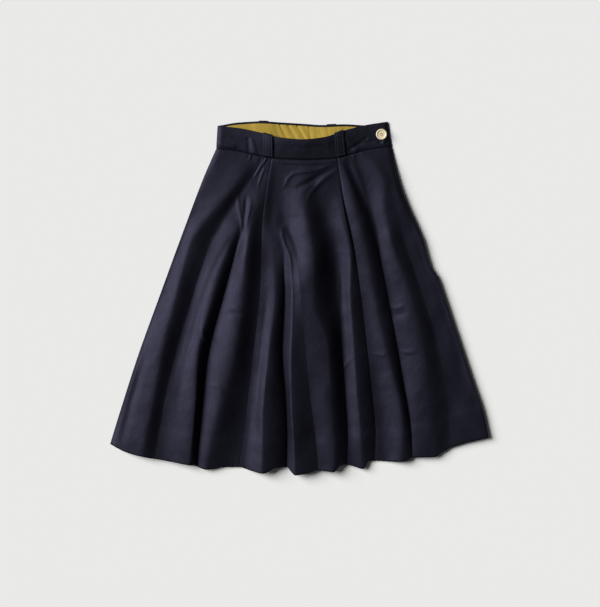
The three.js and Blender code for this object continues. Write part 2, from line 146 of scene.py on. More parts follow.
# The zip stiffens the right edge. Just above its end the edge is drawn in, and below it springs out.
zip_draws_in = curve([0.32, 0.41, 0.45], [0, 5.5, 0])
BAND_PLACES = [0, 0.125, 0.25, 0.375, 0.5, 0.625, 0.75, 0.875, 1]
band_top_front = curve(BAND_PLACES, [324, 319.5, 310.5, 300, 296.5, 301, 315, 325.5, 332])
band_top_back = curve(BAND_PLACES, [324, 330.5, 332.5, 330.5, 328, 325.5, 327, 325, 330])
waist_seam = curve(BAND_PLACES, [282, 277, 268, 262, 260.5, 261.5, 269, 280.5, 286])
top_lift = curve(BAND_PLACES, [0, 1, 5, 11, 13.5, 11, 5, 1, 0])
seam_lift = curve(BAND_PLACES, [0, 0.6, 2, 3.6, 4.5, 4, 2.6, 1, 0])


def band_x(across, share):
    left = lerp(BAND_TOP[0], left_edge(0), share)
    right = lerp(BAND_TOP[1], right_edge(0), share)
    return lerp(left, right, across)


def band_front(across, share):
    """The middle of the front band's wall, share of its height down from its top edge."""
    return np.stack(
        np.broadcast_arrays(
            band_x(across, share),
            lerp(band_top_front(across), waist_seam(across) + WAIST_GAP / 2, share),
            BAND_LIES + lerp(top_lift(across), seam_lift(across), share),
        ),
        -1,
    )


BUTTON_SEAT = band_front(BUTTON_ACROSS, BUTTON_DOWN_BAND)
button_low, button_high = (np.array(corner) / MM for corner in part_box("button"))
SHIFT = np.array([*((button_low + button_high) / 2 - BUTTON_SEAT)[:2], 0.0])
print("the frame's origin lies at", np.round(-SHIFT, 2), "mm in the pattern")

# %% [markdown]
# ## Flutes
#
# A circle skirt's hem is longer than the outline it is laid out in, so the cloth stands up in flutes
# that die out towards the waist. Each flute rises from a valley to a crest and falls to the next valley.
# No two of them have the same flanks: some start steeply from a sharp valley, some swell softly, and one
# is a broad flat shelf with a steep side. Near the band some valleys close up and ride high.

# %% Valleys and crests
HEIGHTS_AT = [0, 0.1, 0.2, 0.25, 0.3, 0.45, 0.6, 0.8, 1]
# across at those heights, lift there in millimetres, and the hem's y
VALLEYS = {
    "left side": ([0] * 9, [0] * 9, -278.5),
    "first": (
        [0.292, 0.22, 0.162, 0.14, 0.122, 0.11, 0.107, 0.109, 0.119],
        [0, 0, 0, 0, 0.5, 2, 3.5, 4.5, 5.5],
        -306.0,
    ),
    "second": (
        [0.303, 0.266, 0.248, 0.24, 0.232, 0.217, 0.207, 0.214, 0.231],
        [0, 2, 9, 5, 1, 0, 0, 0, 0],
        -321.5,
    ),
    "left seam": (
        [0.317, 0.324, 0.329, 0.332, 0.338, 0.348, 0.349, 0.346, 0.341],
        [0, 3, 5, 5, 5, 5, 4, 1.5, 0],
        -322.0,
    ),
    "third": (
        [0.4, 0.415, 0.425, 0.425, 0.428, 0.44, 0.441, 0.46, 0.467],
        [0, 0, 1, 6, 6.5, 1, 0, 0, 0],
        -321.5,
    ),
    "split": (
        [0.48, 0.485, 0.487, 0.487, 0.487, 0.5, 0.515, 0.533, 0.55],
        [0, 3.7, 9.7, 12.5, 14.5, 20, 18, 13, 7],
        -327.0,
    ),
    "fourth": (
        [0.575, 0.6, 0.63, 0.64, 0.642, 0.64, 0.637, 0.634, 0.626],
        [0, 4, 5.5, 4, 2, 0, 0, 0.5, 1.5],
        -317.5,
    ),
    "right seam": (
        [0.69, 0.712, 0.721, 0.723, 0.723, 0.718, 0.716, 0.712, 0.701],
        [0, 3, 7, 8, 8, 5, 4, 1, 0],
        -310.0,
    ),
    "fifth": (
        [0.768, 0.818, 0.824, 0.823, 0.821, 0.813, 0.812, 0.808, 0.799],
        [0, 0, 0, 0, 0, 0, 0, 0.8, 3],
        -303.5,
    ),
    "sixth": (
        [0.9, 0.955, 0.945, 0.937, 0.929, 0.93, 0.937, 0.923, 0.897],
        [0, 8.5, 8.8, 7.8, 6.3, 4.8, 4.4, 4, 4],
        -285.0,
    ),
    "right side": ([1] * 9, [0, 4, 6, 6, 6, 6, 6, 6, 6], -266.0),
}
# at: the crest's across at those heights. high: its height there. left and right: each flank's form at
# its foot under the waist, the same at the hem, and at its crest. A foot under 0 starts steeply and one
# over 0 softly. A large number at the crest turns over sharply. hem: the hem's y half way up the left
# flank, at the crest and half way down the right flank.
FLUTES = [
    dict(
        at=[0.2, 0.17, 0.098, 0.065, 0.045, 0.053, 0.06, 0.075, 0.084],
        high=[0, 5, 6.8, 6.8, 6.3, 9.3, 12, 12.5, 11],
        left=(0.5, 0.0, 4.0),
        right=(0.2, 0.3, 3.0),
        hem=(-293, -301, -304),
    ),
    dict(
        at=[0.297, 0.248, 0.238, 0.22, 0.2, 0.18, 0.172, 0.196, 0.21],
        high=[0, 1.5, 7, 9, 9, 13, 16, 17, 13],
        left=(0.1, 1.2, 3.0),
        right=(-0.3, 0.2, 2.5),
        hem=(-311.5, -317, -318.5),
    ),
    dict(
        at=[0.309, 0.298, 0.28, 0.275, 0.276, 0.288, 0.288, 0.269, 0.256],
        high=[0, 3, 10.5, 14, 17, 15.5, 17.5, 14.5, 5.5],
        left=(0.0, -0.2, 3.0),
        right=(0.5, 0.5, 2.5),
        hem=(-324.5, -326.5, -321.5),
    ),
    dict(
        at=[0.35, 0.362, 0.37, 0.378, 0.39, 0.405, 0.4, 0.394, 0.405],
        high=[0, 0.5, 2.5, 5.5, 6.5, 11, 13.5, 16.5, 13],
        left=(1.0, 1.2, 5.0),
        right=(0.0, -0.3, 1.5),
        hem=(-328.5, -333, -323),
    ),
    dict(
        at=[0.43, 0.44, 0.446, 0.452, 0.46, 0.471, 0.471, 0.477, 0.49],
        high=[0, 0.5, 3, 8, 11.5, 16.5, 21, 20, 14],
        left=(0.3, -0.3, 7.0),
        right=(0.0, 0.0, 5.0),
        hem=(-330, -336.5, -333),
    ),
    dict(
        at=[0.53, 0.53, 0.54, 0.547, 0.553, 0.54, 0.588, 0.59, 0.59],
        high=[0, 7, 17, 20.5, 23.5, 22, 19.5, 18, 12],
        left=(0.0, 0.3, 2.5),
        right=(0.9, 0.0, 2.5),
        hem=(-329, -330.5, -318.5),
    ),
    dict(
        at=[0.63, 0.695, 0.709, 0.709, 0.707, 0.681, 0.677, 0.67, 0.668],
        high=[0, 4, 12, 13.5, 13, 11, 10.5, 10, 6],
        left=(1.1, 0.6, 4.0),
        right=(0.0, -0.2, 3.0),
        hem=(-321, -325, -310),
    ),
    dict(
        at=[0.72, 0.752, 0.768, 0.77, 0.77, 0.767, 0.774, 0.787, 0.77],
        high=[0, 6, 12, 13, 13, 10.5, 11, 12.5, 8],
        left=(0.0, 1.4, 3.0),
        right=(-0.1, -0.2, 2.0),
        hem=(-311, -311.5, -309),
    ),
    dict(
        at=[0.84, 0.93, 0.9, 0.888, 0.88, 0.89, 0.892, 0.872, 0.855],
        high=[0, 9.5, 10.6, 10.4, 10.8, 10, 10.8, 9, 6.5],
        left=(1.0, -0.2, 1.6),
        right=(0.4, 0.5, 1.6),
        hem=(-303, -302.5, -294),
    ),
    dict(
        at=[0.95, 0.975, 0.97, 0.968, 0.966, 0.97, 0.976, 0.978, 0.972],
        high=[0, 8.2, 9, 8, 6.8, 5.6, 5.2, 5, 5],
        left=(0.9, 1.2, 1.0),
        right=(0.0, 0.0, 1.0),
        hem=(-276.5, -270.5, -267.5),
    ),
]
ACROSS_OF, LIFT_OF, HEM_OF = (list(column) for column in zip(*VALLEYS.values()))
valley_at = [curve(HEIGHTS_AT, across) for across in ACROSS_OF]
valley_lift = [curve(HEIGHTS_AT, lift) for lift in LIFT_OF]
crest_at = [curve(HEIGHTS_AT, flute["at"]) for flute in FLUTES]
crest_high = [curve(HEIGHTS_AT, flute["high"]) for flute in FLUTES]
# the hem's y, counting one for each flute from the left side
hem_line = curve(
    np.arange(4 * len(FLUTES) + 1) / 4,
    [y for hem, flute in zip(HEM_OF, FLUTES) for y in (hem, *flute["hem"])] + [HEM_OF[-1]],
)


def flank(share, down, form):
    """The part of a crest's height reached at a share of the way from its valley to its crest."""
    foot = lerp(form[0], form[1], ease(down * 1.6 - 0.3)) + 1
    crest = foot + form[2]
    return (share**foot / foot - share**crest / crest) / (1 / foot - 1 / crest)


def flute_place(k, t, down):
    """Where the share t of flute k is: how far across, and how high."""
    flute = FLUTES[k]
    share = 1 - np.abs(2 * t - 1)
    on_left = t < 0.5
    foot = np.where(on_left, valley_at[k](down), valley_at[k + 1](down))
    base = np.where(on_left, valley_lift[k](down), valley_lift[k + 1](down))
    shape = np.where(on_left, flank(share, down, flute["left"]), flank(share, down, flute["right"]))
    return lerp(foot, crest_at[k](down), share), lerp(base, crest_high[k](down), shape)


# %% [markdown]
# ## Creases
#
# Between the flutes the cloth has creases of its own: drag lines that run from the gathers at the band,
# a pinch where two folds meet, a hooked fold below the waist, and short dents on the flutes. Each is
# given as a soft path over the pattern. No two have the same length, depth or spacing.
#
# A crease has a rise, which is negative for a trough, and a reach on its left and on its right, looking
# along it. A pinched crease has a sharp crest, and the others are round.

# %% The creases of the front
# name, path as (across, down) pairs, rise, reach on the left, reach on the right, form
CREASES = [
    (
        "pinch, left arm",
        [(0.187, 0.125), (0.205, 0.163), (0.232, 0.209), (0.25, 0.262)],
        1.3, 6, 6, "pinched",
    ),
    (
        "pinch, hollow",
        [(0.232, 0.13), (0.236, 0.15), (0.243, 0.175), (0.248, 0.21)],
        -1.5, 6, 6, "round",
    ),
    (
        "pinch, right arm",
        [(0.25, 0.125), (0.26, 0.145), (0.262, 0.17), (0.26, 0.209), (0.26, 0.25)],
        0.8, 6, 6, "pinched",
    ),
    (
        "waist roll, outer",
        [(0.413, 0.09), (0.428, 0.062), (0.46, 0.045), (0.56, 0.036), (0.67, 0.018)],
        1.8, 6, 7, "pinched",
    ),
    (
        "waist hollow, outer",
        [(0.47, 0.1), (0.5, 0.088), (0.54, 0.074), (0.59, 0.056), (0.65, 0.038)],
        -2.3, 9, 9, "round",
    ),
    (
        "waist roll, inner",
        [(0.535, 0.135), (0.55, 0.11), (0.58, 0.087), (0.622, 0.062), (0.68, 0.042)],
        1.9, 6, 10, "pinched",
    ),
    (
        "roll under the band",
        [(0.325, 0.01), (0.4, 0.0105), (0.5, 0.011), (0.6, 0.0115), (0.685, 0.01)],
        1.5, 5, 5, "round",
    ),
    ("knot, upper", [(0.278, 0.012), (0.262, 0.045), (0.25, 0.07)], 1.4, 5, 4, "pinched"),
    ("knot, lower", [(0.292, 0.03), (0.283, 0.07), (0.28, 0.1)], 1.0, 5, 4, "pinched"),
    ("belly", [(0.46, 0.09), (0.475, 0.14), (0.49, 0.19)], 1.6, 34, 34, "round"),
    (
        "hook",
        [(0.43, 0.222), (0.45, 0.228), (0.475, 0.26), (0.49, 0.3), (0.5, 0.34)],
        -1.9, 12, 12, "round",
    ),
    (
        "hook, crest",
        [(0.427, 0.213), (0.42, 0.235), (0.43, 0.27), (0.45, 0.31), (0.462, 0.36)],
        1.6, 8, 8, "pinched",
    ),
    (
        "from the right gathers",
        [(0.738, 0.01), (0.76, 0.05), (0.79, 0.11), (0.808, 0.19)],
        -3.4, 12, 12, "round",
    ),
    ("low on the far left", [(0.022, 0.68), (0.022, 0.82), (0.026, 1.0)], -2.3, 9, 9, "round"),
    (
        "dip along the second flute",
        [(0.2, 0.27), (0.178, 0.32), (0.158, 0.4), (0.147, 0.5), (0.144, 0.65), (0.146, 0.82)],
        -1.7, 9, 8, "round",
    ),
    ("dip along the third flute", [(0.378, 0.42), (0.374, 0.6), (0.37, 0.85)], -1.2, 7, 7, "round"),
    ("dent on the left flute", [(0.24, 0.495), (0.265, 0.487), (0.3, 0.5)], 1.2, 8, 7, "pinched"),
    (
        "dent on the left flute, foot",
        [(0.238, 0.515), (0.262, 0.508), (0.29, 0.515)],
        -1.2, 8, 8, "round",
    ),
    ("step low on the left", [(0.232, 0.735), (0.25, 0.74), (0.272, 0.765)], 1.2, 9, 7, "pinched"),
    ("notch in the left bank", [(0.165, 0.56), (0.185, 0.595), (0.213, 0.61)], 1.8, 11, 8, "pinched"),
    ("dent at the right", [(0.812, 0.5), (0.835, 0.518), (0.86, 0.512)], 1.4, 7, 6, "pinched"),
    ("dent at the right, foot", [(0.81, 0.525), (0.835, 0.54), (0.86, 0.535)], -1.3, 8, 8, "round"),
    ("dent lower at the right", [(0.82, 0.655), (0.845, 0.668), (0.862, 0.66)], 1.3, 8, 7, "pinched"),
    ("dent right of the seam", [(0.735, 0.645), (0.758, 0.66), (0.772, 0.652)], 1.2, 8, 7, "pinched"),
    ("dent left of the seam", [(0.63, 0.69), (0.65, 0.67), (0.664, 0.65)], 1.2, 7, 7, "pinched"),
]
# Gathers under the band: across, lean to the left in millimetres, rise, half width, how far down they run
GATHERS = [
    (0.172, -2, 0.7, 3.4, 0.022),
    (0.2, 1, 1.0, 3.0, 0.03),
    (0.223, -2, 1.2, 3.2, 0.022),
    (0.247, 3, 1.5, 3.4, 0.036),
    (0.268, -1, 1.1, 2.8, 0.024),
    (0.288, 4, 1.5, 3.4, 0.045),
    (0.725, -3, 0.5, 3.6, 0.03),
    (0.742, 2, 0.8, 3.4, 0.024),
    (0.78, -4, 0.7, 5.0, 0.04),
    (0.83, -3, 0.4, 5.6, 0.035),
]


def plan(across, down, waist, hem):
    """Where the cloth would lie with no flutes: x and y in the pattern."""
    drawn_in = zip_draws_in(down) * ease((across - 0.93) / 0.07)
    return lerp(left_edge(down), right_edge(down), across) - drawn_in, lerp(waist, hem, down)


def held_at_side(x, down):
    """How far the roll of the right side lifts the cloth off the table."""
    return valley_lift[-1](down) * (1 - ease((right_edge(down) - x) / SIDE_ROLL))


base_hem = curve([across[-1] for across in ACROSS_OF], HEM_OF)


def smooth_path(points, count=48):
    """A curve through a few points, as count points at even steps along it."""
    points = np.array(points, float)
    steps = np.concatenate([[0], np.cumsum(np.hypot(*np.diff(points, axis=0).T))])
    at = np.linspace(0, steps[-1], count)
    if len(points) < 3:
        return np.stack([np.interp(at, steps, points[:, i]) for i in (0, 1)], -1)
    return np.stack([curve(steps, points[:, i])(at) for i in (0, 1)], -1)


def crease_lift(x, y):
    """How far all the creases lift the cloth at the places x, y."""
    lift = np.zeros_like(x)
    for _, pairs, rise, left_reach, right_reach, form in CREASES:
        across, down = np.array(pairs).T
        path = smooth_path(np.stack(plan(across, down, waist_seam(across), base_hem(across)), -1))
        reach = max(left_reach, right_reach)
        low, high = path.min(0) - reach, path.max(0) + reach
        near = np.nonzero((x > low[0]) & (x < high[0]) & (y > low[1]) & (y < high[1]))
        if not len(near[0]):
            continue
        away = np.stack([x[near], y[near]], -1)[:, None] - path[None]
        far = np.hypot(away[..., 0], away[..., 1])
        nearest = far.argmin(1)
        heading = np.gradient(path, axis=0)[nearest]
        offset = away[np.arange(len(nearest)), nearest]
        is_left = heading[:, 0] * offset[:, 1] - heading[:, 1] * offset[:, 0] > 0
        share = far.min(1) / np.where(is_left, left_reach, right_reach)
        profile = bump(share) if form == "round" else bump(share) * (1 - np.clip(share, 0, 1)) ** 0.8
        along = nearest / (len(path) - 1)
        lift[near] += rise * profile * np.sin(np.pi * np.clip(along, 0.02, 0.98)) ** 0.6
    return lift


def gather_lift(x, across, down):
    lift = np.zeros_like(x)
    for at, lean, rise, half_width, length in GATHERS:
        away = (across - at) * (right_edge(down) - left_edge(down)) + lean * down / length
        lift = lift + rise * bump(away / half_width) * (1 - ease(down / length)) * ease(down / 0.006)
    return lift


print(len(CREASES), "creases and", len(GATHERS), "gathers")

# %% [markdown]
# ## The front gores
#
# A point on the front is found from its flute, its share of the flute's width and its share of the way
# down. The flutes, the creases and the gathers are heights that add up. Two floors keep the cloth off
# the back gores and off the zip, with a soft maximum so that no hard edge shows where it touches down.
# Near the waist, where the band pulls the cloth flat, the flutes' turns are rounded off once more.


# %% The front surface
def soft_max(a, b, softness):
    return b + softness * np.logaddexp(0, (a - b) / softness)


# wavelength in millimetres, heading in degrees, rise and phase of the waves that add up to a slow swell
SWELLS = [
    (150, 15, 0.55, 0.7),
    (104, -28, 0.45, 1.9),
    (73, 38, 0.3, 4.0),
    (52, -12, 0.2, 2.6),
    (41, 60, 0.16, 5.1),
]
# how far down the band holds the cloth up, and how softly and how deep the cloth touches down
BAND_HOLDS = 0.22
TOUCH_SOFT = 0.5
TOUCH_SINKS = 0.35


def unevenness(x, y):
    """A slow uneven swell of the cloth."""
    lift = np.zeros_like(x)
    for length, heading, rise, phase in SWELLS:
        turn = math.radians(heading)
        run = (x * math.cos(turn) + y * math.sin(turn)) / length * math.tau
        bend = 1.3 * np.sin((y * math.cos(turn) - x * math.sin(turn)) / length * 2.3 + phase)
        lift = lift + rise * np.sin(run + bend + phase)
    return lift


def front_points(k, t, down):
    """The middle of the front's wall in flute k."""
    across, high = flute_place(k, t, down)
    x, y = plan(across, down, waist_seam(across), hem_line(k + t))
    held = (BAND_LIES + seam_lift(across) - FRONT_LIES) * (1 - ease(down / BAND_HOLDS))
    on_zip = ZIP_LIFTS * ease((across - 0.86) / 0.08) * (1 - ease((down - 0.37) / 0.06))
    rests = on_zip + held_at_side(x, down)
    creases = crease_lift(x, y) * ease(down / 0.008)
    swell = unevenness(x, y) * ease(down / 0.1) * ease(across / 0.03) * ease((1 - across) / 0.03)
    lift = held + high + creases + gather_lift(x, across, down) + swell
    z = FRONT_LIES + soft_max(lift, rests, TOUCH_SOFT) - TOUCH_SINKS
    return np.stack([x, y, z], -1)


def crowded(count):
    """Numbers from 0 to 1, closer together towards both ends and the middle."""
    t = np.linspace(0, 1, count + 1)
    return t - np.sin(4 * np.pi * t) / (4 * np.pi) * 0.8


ROWS = 240
FLUTE_COLUMNS = 34
# the rounding near the waist: its reach and its step in millimetres, how far down it is whole, over
# what it then fades, and the width at a gore's seams that it leaves alone
SOFT_REACH = 5.0
SOFT_STEP = 0.5
SOFT_DOWN_TO = 0.24
SOFT_FADES_OVER = 0.12
SOFT_FROM_SEAM = 10.0


def softened(x, high, down):
    """The flutes' height, with its turns rounded off near the waist."""
    steps = np.arange(-3 * SOFT_REACH, 3 * SOFT_REACH + SOFT_STEP, SOFT_STEP)
    weights = np.exp(-((steps / SOFT_REACH) ** 2))
    fade = 1 - ease((down[:, 0] - SOFT_DOWN_TO) / SOFT_FADES_OVER)
    rows = []
    for places, heights, amount in zip(x, high, fade):
        even = np.arange(places[0], places[-1] + SOFT_STEP, SOFT_STEP)
        padded = np.pad(np.interp(even, places, heights), len(steps) // 2, mode="edge")
        soft = np.convolve(padded, weights / weights.sum(), mode="valid")
        from_seam = np.minimum(places - places[0], places[-1] - places)
        amount = amount * ease(from_seam / SOFT_FROM_SEAM)
        rows.append(lerp(heights, np.interp(places, even, soft), amount))
    return np.stack(rows)


def front_gore(first, last):
    """The grid of the gore with the flutes first to last, and how far down each of its rows lies."""
    down = (np.linspace(0, 1, ROWS + 1) ** 1.12)[:, None]
    strips, heights = [], []
    for k in range(first, last + 1):
        t = crowded(FLUTE_COLUMNS)[None, :]
        t = np.broadcast_to(t if k == first else t[:, 1:], (len(down), FLUTE_COLUMNS + (k == first)))
        strips.append(front_points(k, t, down))
        heights.append(flute_place(k, t, down)[1])
    grid, high = np.concatenate(strips, 1), np.concatenate(heights, 1)
    grid[..., 2] += softened(grid[..., 0], high, down) - high
    return grid, down


# %% [markdown]
# ## From a grid of points to a sheet of cloth
#
# A sheet has two faces and a thickness. The grid is the middle of the wall, and both faces are the grid
# moved out along its own normals. A plain Solidify modifier would do this too, but here the hem needs a
# second layer inside, so the inner face is moved by its own distance at each point.


# %% Sheet builder
def normals_of(grid):
    down = np.gradient(grid, axis=0)
    right = np.gradient(grid, axis=1)
    n = np.cross(down, right)
    return n / np.linalg.norm(n, axis=-1, keepdims=True)


def add_object(name, mesh):
    """Puts a mesh into the scene as an object."""
    piece = bpy.data.objects.new(name, mesh)
    bpy.context.collection.objects.link(piece)
    return piece


def smooth_piece(name, points, faces):
    """A smooth object from points in the pattern's millimetres."""
    mesh = bpy.data.meshes.new(name)
    mesh.from_pydata(((points + SHIFT) * MM).tolist(), [], faces)
    mesh.polygons.foreach_set("use_smooth", np.ones(len(faces), bool))
    return add_object(name, mesh)


def sheet_mesh(name, grid, thickness, inner=None):
    """A closed sheet round the grid. inner is how far its inner face lies from the middle."""
    rows, columns = grid.shape[:2]
    n = normals_of(grid)
    inner = thickness / 2 if inner is None else inner[..., None]
    verts = np.concatenate([(grid + n * thickness / 2).reshape(-1, 3), (grid - n * inner).reshape(-1, 3)])
    top = np.arange(rows * columns).reshape(rows, columns)
    under = top + rows * columns

    def quads(a, b, c, d):
        return np.stack([a, b, c, d], -1).reshape(-1, 4)

    faces = [
        quads(top[:-1, :-1], top[1:, :-1], top[1:, 1:], top[:-1, 1:]),
        quads(under[:-1, :-1], under[:-1, 1:], under[1:, 1:], under[1:, :-1]),
        quads(top[:-1, 0], under[:-1, 0], under[1:, 0], top[1:, 0]),
        quads(top[:-1, -1], top[1:, -1], under[1:, -1], under[:-1, -1]),
        quads(top[0, :-1], top[0, 1:], under[0, 1:], under[0, :-1]),
        quads(top[-1, :-1], under[-1, :-1], under[-1, 1:], top[-1, 1:]),
    ]
    faces = np.concatenate(faces)
    piece = smooth_piece(name, verts, faces.tolist())
    lay_weave(piece, grid, faces)
    return piece


def lay_weave(piece, grid, faces):
    """A UV map in metres of cloth, with V down the cloth, so that the weave follows each sheet."""
    rows, columns = grid.shape[:2]
    run = np.cumsum(np.linalg.norm(np.diff(grid, axis=1, prepend=grid[:, :1]), axis=-1), 1)
    fall = np.cumsum(np.linalg.norm(np.diff(grid, axis=0, prepend=grid[:1]), axis=-1), 0)
    place = np.stack([run - run[:, columns // 2 : columns // 2 + 1], -fall], -1).reshape(-1, 2) * MM
    layer = piece.data.uv_layers.new(name="cloth")
    corners = faces.reshape(-1) % (rows * columns)
    layer.uv.foreach_set("vector", place[corners].astype(np.float32).ravel())


def half_area(piece):
    """A closed sheet's area on one side, in square metres."""
    return sum(face.area for face in piece.data.polygons) / 2


def print_sheet(name):
    piece = skirt[name]
    print(name, len(piece.data.polygons), "faces, area", round(half_area(piece), 4), "square metres")


# %% [markdown]
# ## Seams, side edges and the hem
#
# A seam pulls the cloth down into a narrow ditch, and its thread draws small puckers on both sides. At
# the two sides the front rolls down to meet the back. The hem is turned up inside by 50 mm, so the wall
# is thicker there, and the blind stitches that hold it leave a faint dent in the face.

# %% Sewing the gores
# the turned-up layer, how far it lifts the hem and over what the lift fades
HEM_LAYER = 0.8
HEM_LIFTS = 1.0
HEM_LIFT_FADES = 20.0
# the faint line of blind stitches at the hem's upper edge, and the ditch of the waist seam
BLIND_DENT = 0.16
BLIND_WIDTH = 1.6
WAIST_DITCH = 0.7
WAIST_DITCH_WIDTH = 2.0
NEAR_LENGTH = 600
# the ditch of a side seam, and its puckers: their rise, spacing, start and reach beside the seam
DITCH_DEPTH = 0.5
DITCH_WIDTH = 1.7
PUCKER_RISE = 0.1
PUCKER_STEP = 1.45
PUCKER_START = 1.2
PUCKER_REACH = 5.5
# how high the front lies where it meets the back at a side, and over what it comes down
SIDE_LIES = 1.6
SIDE_TURNS = 9


def along(grid, column):
    """The distance down one edge of a grid."""
    return np.cumsum(np.linalg.norm(np.diff(grid[:, column], axis=0, prepend=grid[:1, column]), axis=-1))


def from_edge(grid, column):
    """How far across each point lies from one edge of its grid."""
    return np.abs(grid[..., 0] - grid[:, column, None, 0])


def sew_seam(grid, column, phase, down):
    """Dents a grid along one edge: a ditch, and puckers of uneven strength beside it."""
    away = from_edge(grid, column)
    s = along(grid, column)[:, None]
    wave = np.sin(s / PUCKER_STEP + 2 * np.sin(s / 13 + phase))
    strength = PUCKER_RISE * (1 + 0.7 * np.sin(s / 37 + phase)) * wave
    beside = np.exp(-((away / PUCKER_REACH) ** 2)) * (1 - np.exp(-((away / PUCKER_START) ** 2)))
    grid[..., 2] -= DITCH_DEPTH * (1 - 0.7 * ease(down / 0.35)) * np.exp(-((away / DITCH_WIDTH) ** 2))
    grid[..., 2] += strength * beside
    return grid


def meet_at_side(grid, column, height):
    """Brings one edge of a grid to a height, over its last few millimetres."""
    grid[..., 2] = lerp(height, grid[..., 2], np.sqrt(ease(from_edge(grid, column) / SIDE_TURNS)))
    return grid


def hem_inner(grid, thickness):
    """The inner face's distance from the middle, with the hem turned up, and the way to the hem."""
    to_hem = np.linalg.norm(grid - grid[-1:], axis=-1)
    return thickness / 2 + HEM_LAYER * (1 - ease((to_hem - HEM_DEPTH + 1.5) / 3)), to_hem


def open_seams(grid):
    grid[:, 0, 0] += GAP / 2
    grid[:, -1, 0] -= GAP / 2
    grid[0, :, 1] -= WAIST_GAP / 2
    return grid


# the first and the last flute of each gore
GORES = {"left": (0, 2), "centre": (3, 6), "right": (7, 9)}
skirt = {}
for phase, (place, (first, last)) in enumerate(GORES.items()):
    name = "front_gore_" + place
    grid, down = front_gore(first, last)
    inner, to_hem = hem_inner(grid, CLOTH)
    grid[..., 2] += HEM_LIFTS * (1 - ease((to_hem - HEM_DEPTH + 2) / HEM_LIFT_FADES))
    grid[..., 2] -= BLIND_DENT * np.exp(-(((to_hem - HEM_DEPTH) / BLIND_WIDTH) ** 2))
    grid[..., 2] -= WAIST_DITCH * np.exp(-((down * NEAR_LENGTH / WAIST_DITCH_WIDTH) ** 2))
    if place == "left":
        grid = meet_at_side(grid, 0, SIDE_LIES)
    else:
        grid = sew_seam(grid, 0, phase + 0.3, down)
    if place == "right":
        grid = meet_at_side(grid, -1, SIDE_LIES + valley_lift[-1](down))
    else:
        grid = sew_seam(grid, -1, phase + 1.7, down)
    skirt[name] = sheet_mesh(name + "_cloth", open_seams(grid), CLOTH, inner)
    print_sheet(name)

# %% [markdown]
# ## The back gores
#
# The back lies on the table between the flutes and rises a little under each of them, since the same
# full hem is folded there too. Its outer face looks down.

# %% The back surface
BACK_RISES = 0.4
BACK_SOFT_FOOT = 10.0
BACK_LEAVES_TABLE = 0.38
BACK_FULLY_RISEN = 0.75
BACK_HEM_TUCK = 8.0
BACK_LOOPS_ACROSS = (0.268, 0.668)
LOOP_WALL = 1.2
BACK_ROWS = 120
BACK_COLUMNS = 18
# the folds of the back that rise off the table: path, rise, reach
BACK_CREASES = [
    ([(0.08, 0.2), (0.12, 0.45), (0.1, 0.7)], 3.0, 26),
    ([(0.3, 0.12), (0.27, 0.3), (0.28, 0.5)], 2.2, 18),
    ([(0.55, 0.1), (0.5, 0.22), (0.44, 0.42)], 3.2, 24),
    ([(0.6, 0.3), (0.63, 0.45), (0.66, 0.7)], 2.4, 20),
    ([(0.78, 0.08), (0.82, 0.2), (0.84, 0.34)], 1.0, 22),
]


def lift_over_loops(across, down):
    """How far the two loops that lie under the back band lift it."""
    away = np.min([np.abs(across - at) for at in BACK_LOOPS_ACROSS], 0) * BAND_WIDTH
    return (LOOP_WALL + GAP) * (1 - ease((away - LOOP_WIDTH / 2 - 4) / 16)) * (1 - ease(down / 0.07))


def back_seam(across):
    return band_top_back(across) - BAND_HEIGHT


def back_points(k, t, down):
    across, high = flute_place(k, t, down)
    tuck = BACK_HEM_TUCK * np.sqrt(np.maximum(np.sin(np.pi * across), 0))
    x, y = plan(across, down, back_seam(across), hem_line(k + t) + tuck)
    grown = ease((down - BACK_LEAVES_TABLE) / (BACK_FULLY_RISEN - BACK_LEAVES_TABLE))
    high = np.maximum(high, 0)
    rise = BACK_RISES * grown * high**2 / (high + BACK_SOFT_FOOT)
    for pairs, height, reach in BACK_CREASES:
        path = smooth_path(pairs, 24)
        px = lerp(left_edge(path[:, 1]), right_edge(path[:, 1]), path[:, 0])
        py = lerp(back_seam(path[:, 0]), base_hem(path[:, 0]), path[:, 1])
        far = np.hypot(x[..., None] - px, y[..., None] - py)
        end = np.sin(np.pi * np.clip(far.argmin(-1) / 23, 0.02, 0.98))
        rise = rise + height * 0.35 * bump(far.min(-1) / reach) * end
    z = CLOTH / 2 + np.maximum(rise, held_at_side(x, down)) + lift_over_loops(across, down)
    return np.stack([x, y, z], -1)


down = np.linspace(0, 1, BACK_ROWS + 1)[:, None]
for place, (first, last) in GORES.items():
    name = "back_gore_" + place
    strips = []
    for k in range(first, last + 1):
        t = np.linspace(0, 1, BACK_COLUMNS + 1)[None, :]
        t = t if k == first else t[:, 1:]
        strips.append(back_points(k, np.broadcast_to(t, (len(down), t.shape[1])), down))
    grid = open_seams(np.concatenate(strips, 1))[:, ::-1]
    inner, _ = hem_inner(grid, CLOTH)
    skirt[name] = sheet_mesh(name + "_cloth", grid, CLOTH, inner)
    print_sheet(name)

# %% [markdown]
# ## The waistband
#
# The band is one strip folded over at its top edge. Its section runs up the outside, round the fold and
# a few millimetres down the inside, where the facing takes over. The front half sags in the middle, so
# the mouth of the skirt gapes and shows the facing of the back half. At its two ends it comes down to
# the back half, so that the band's sides are closed.


# %% Band section
BAND_COLUMNS = 200
BAND_ROWS = 40
# the fold at the top edge: its half turn takes the first rows, and the rest run down inside
ROLL = 4.0
ROLL_ROWS = 10
TURN_ROWS = 6
FOLD_EASE = 0.25
# how high the front half lies where it meets the back half at the band's two sides
BAND_SIDE_LIES = 1.7
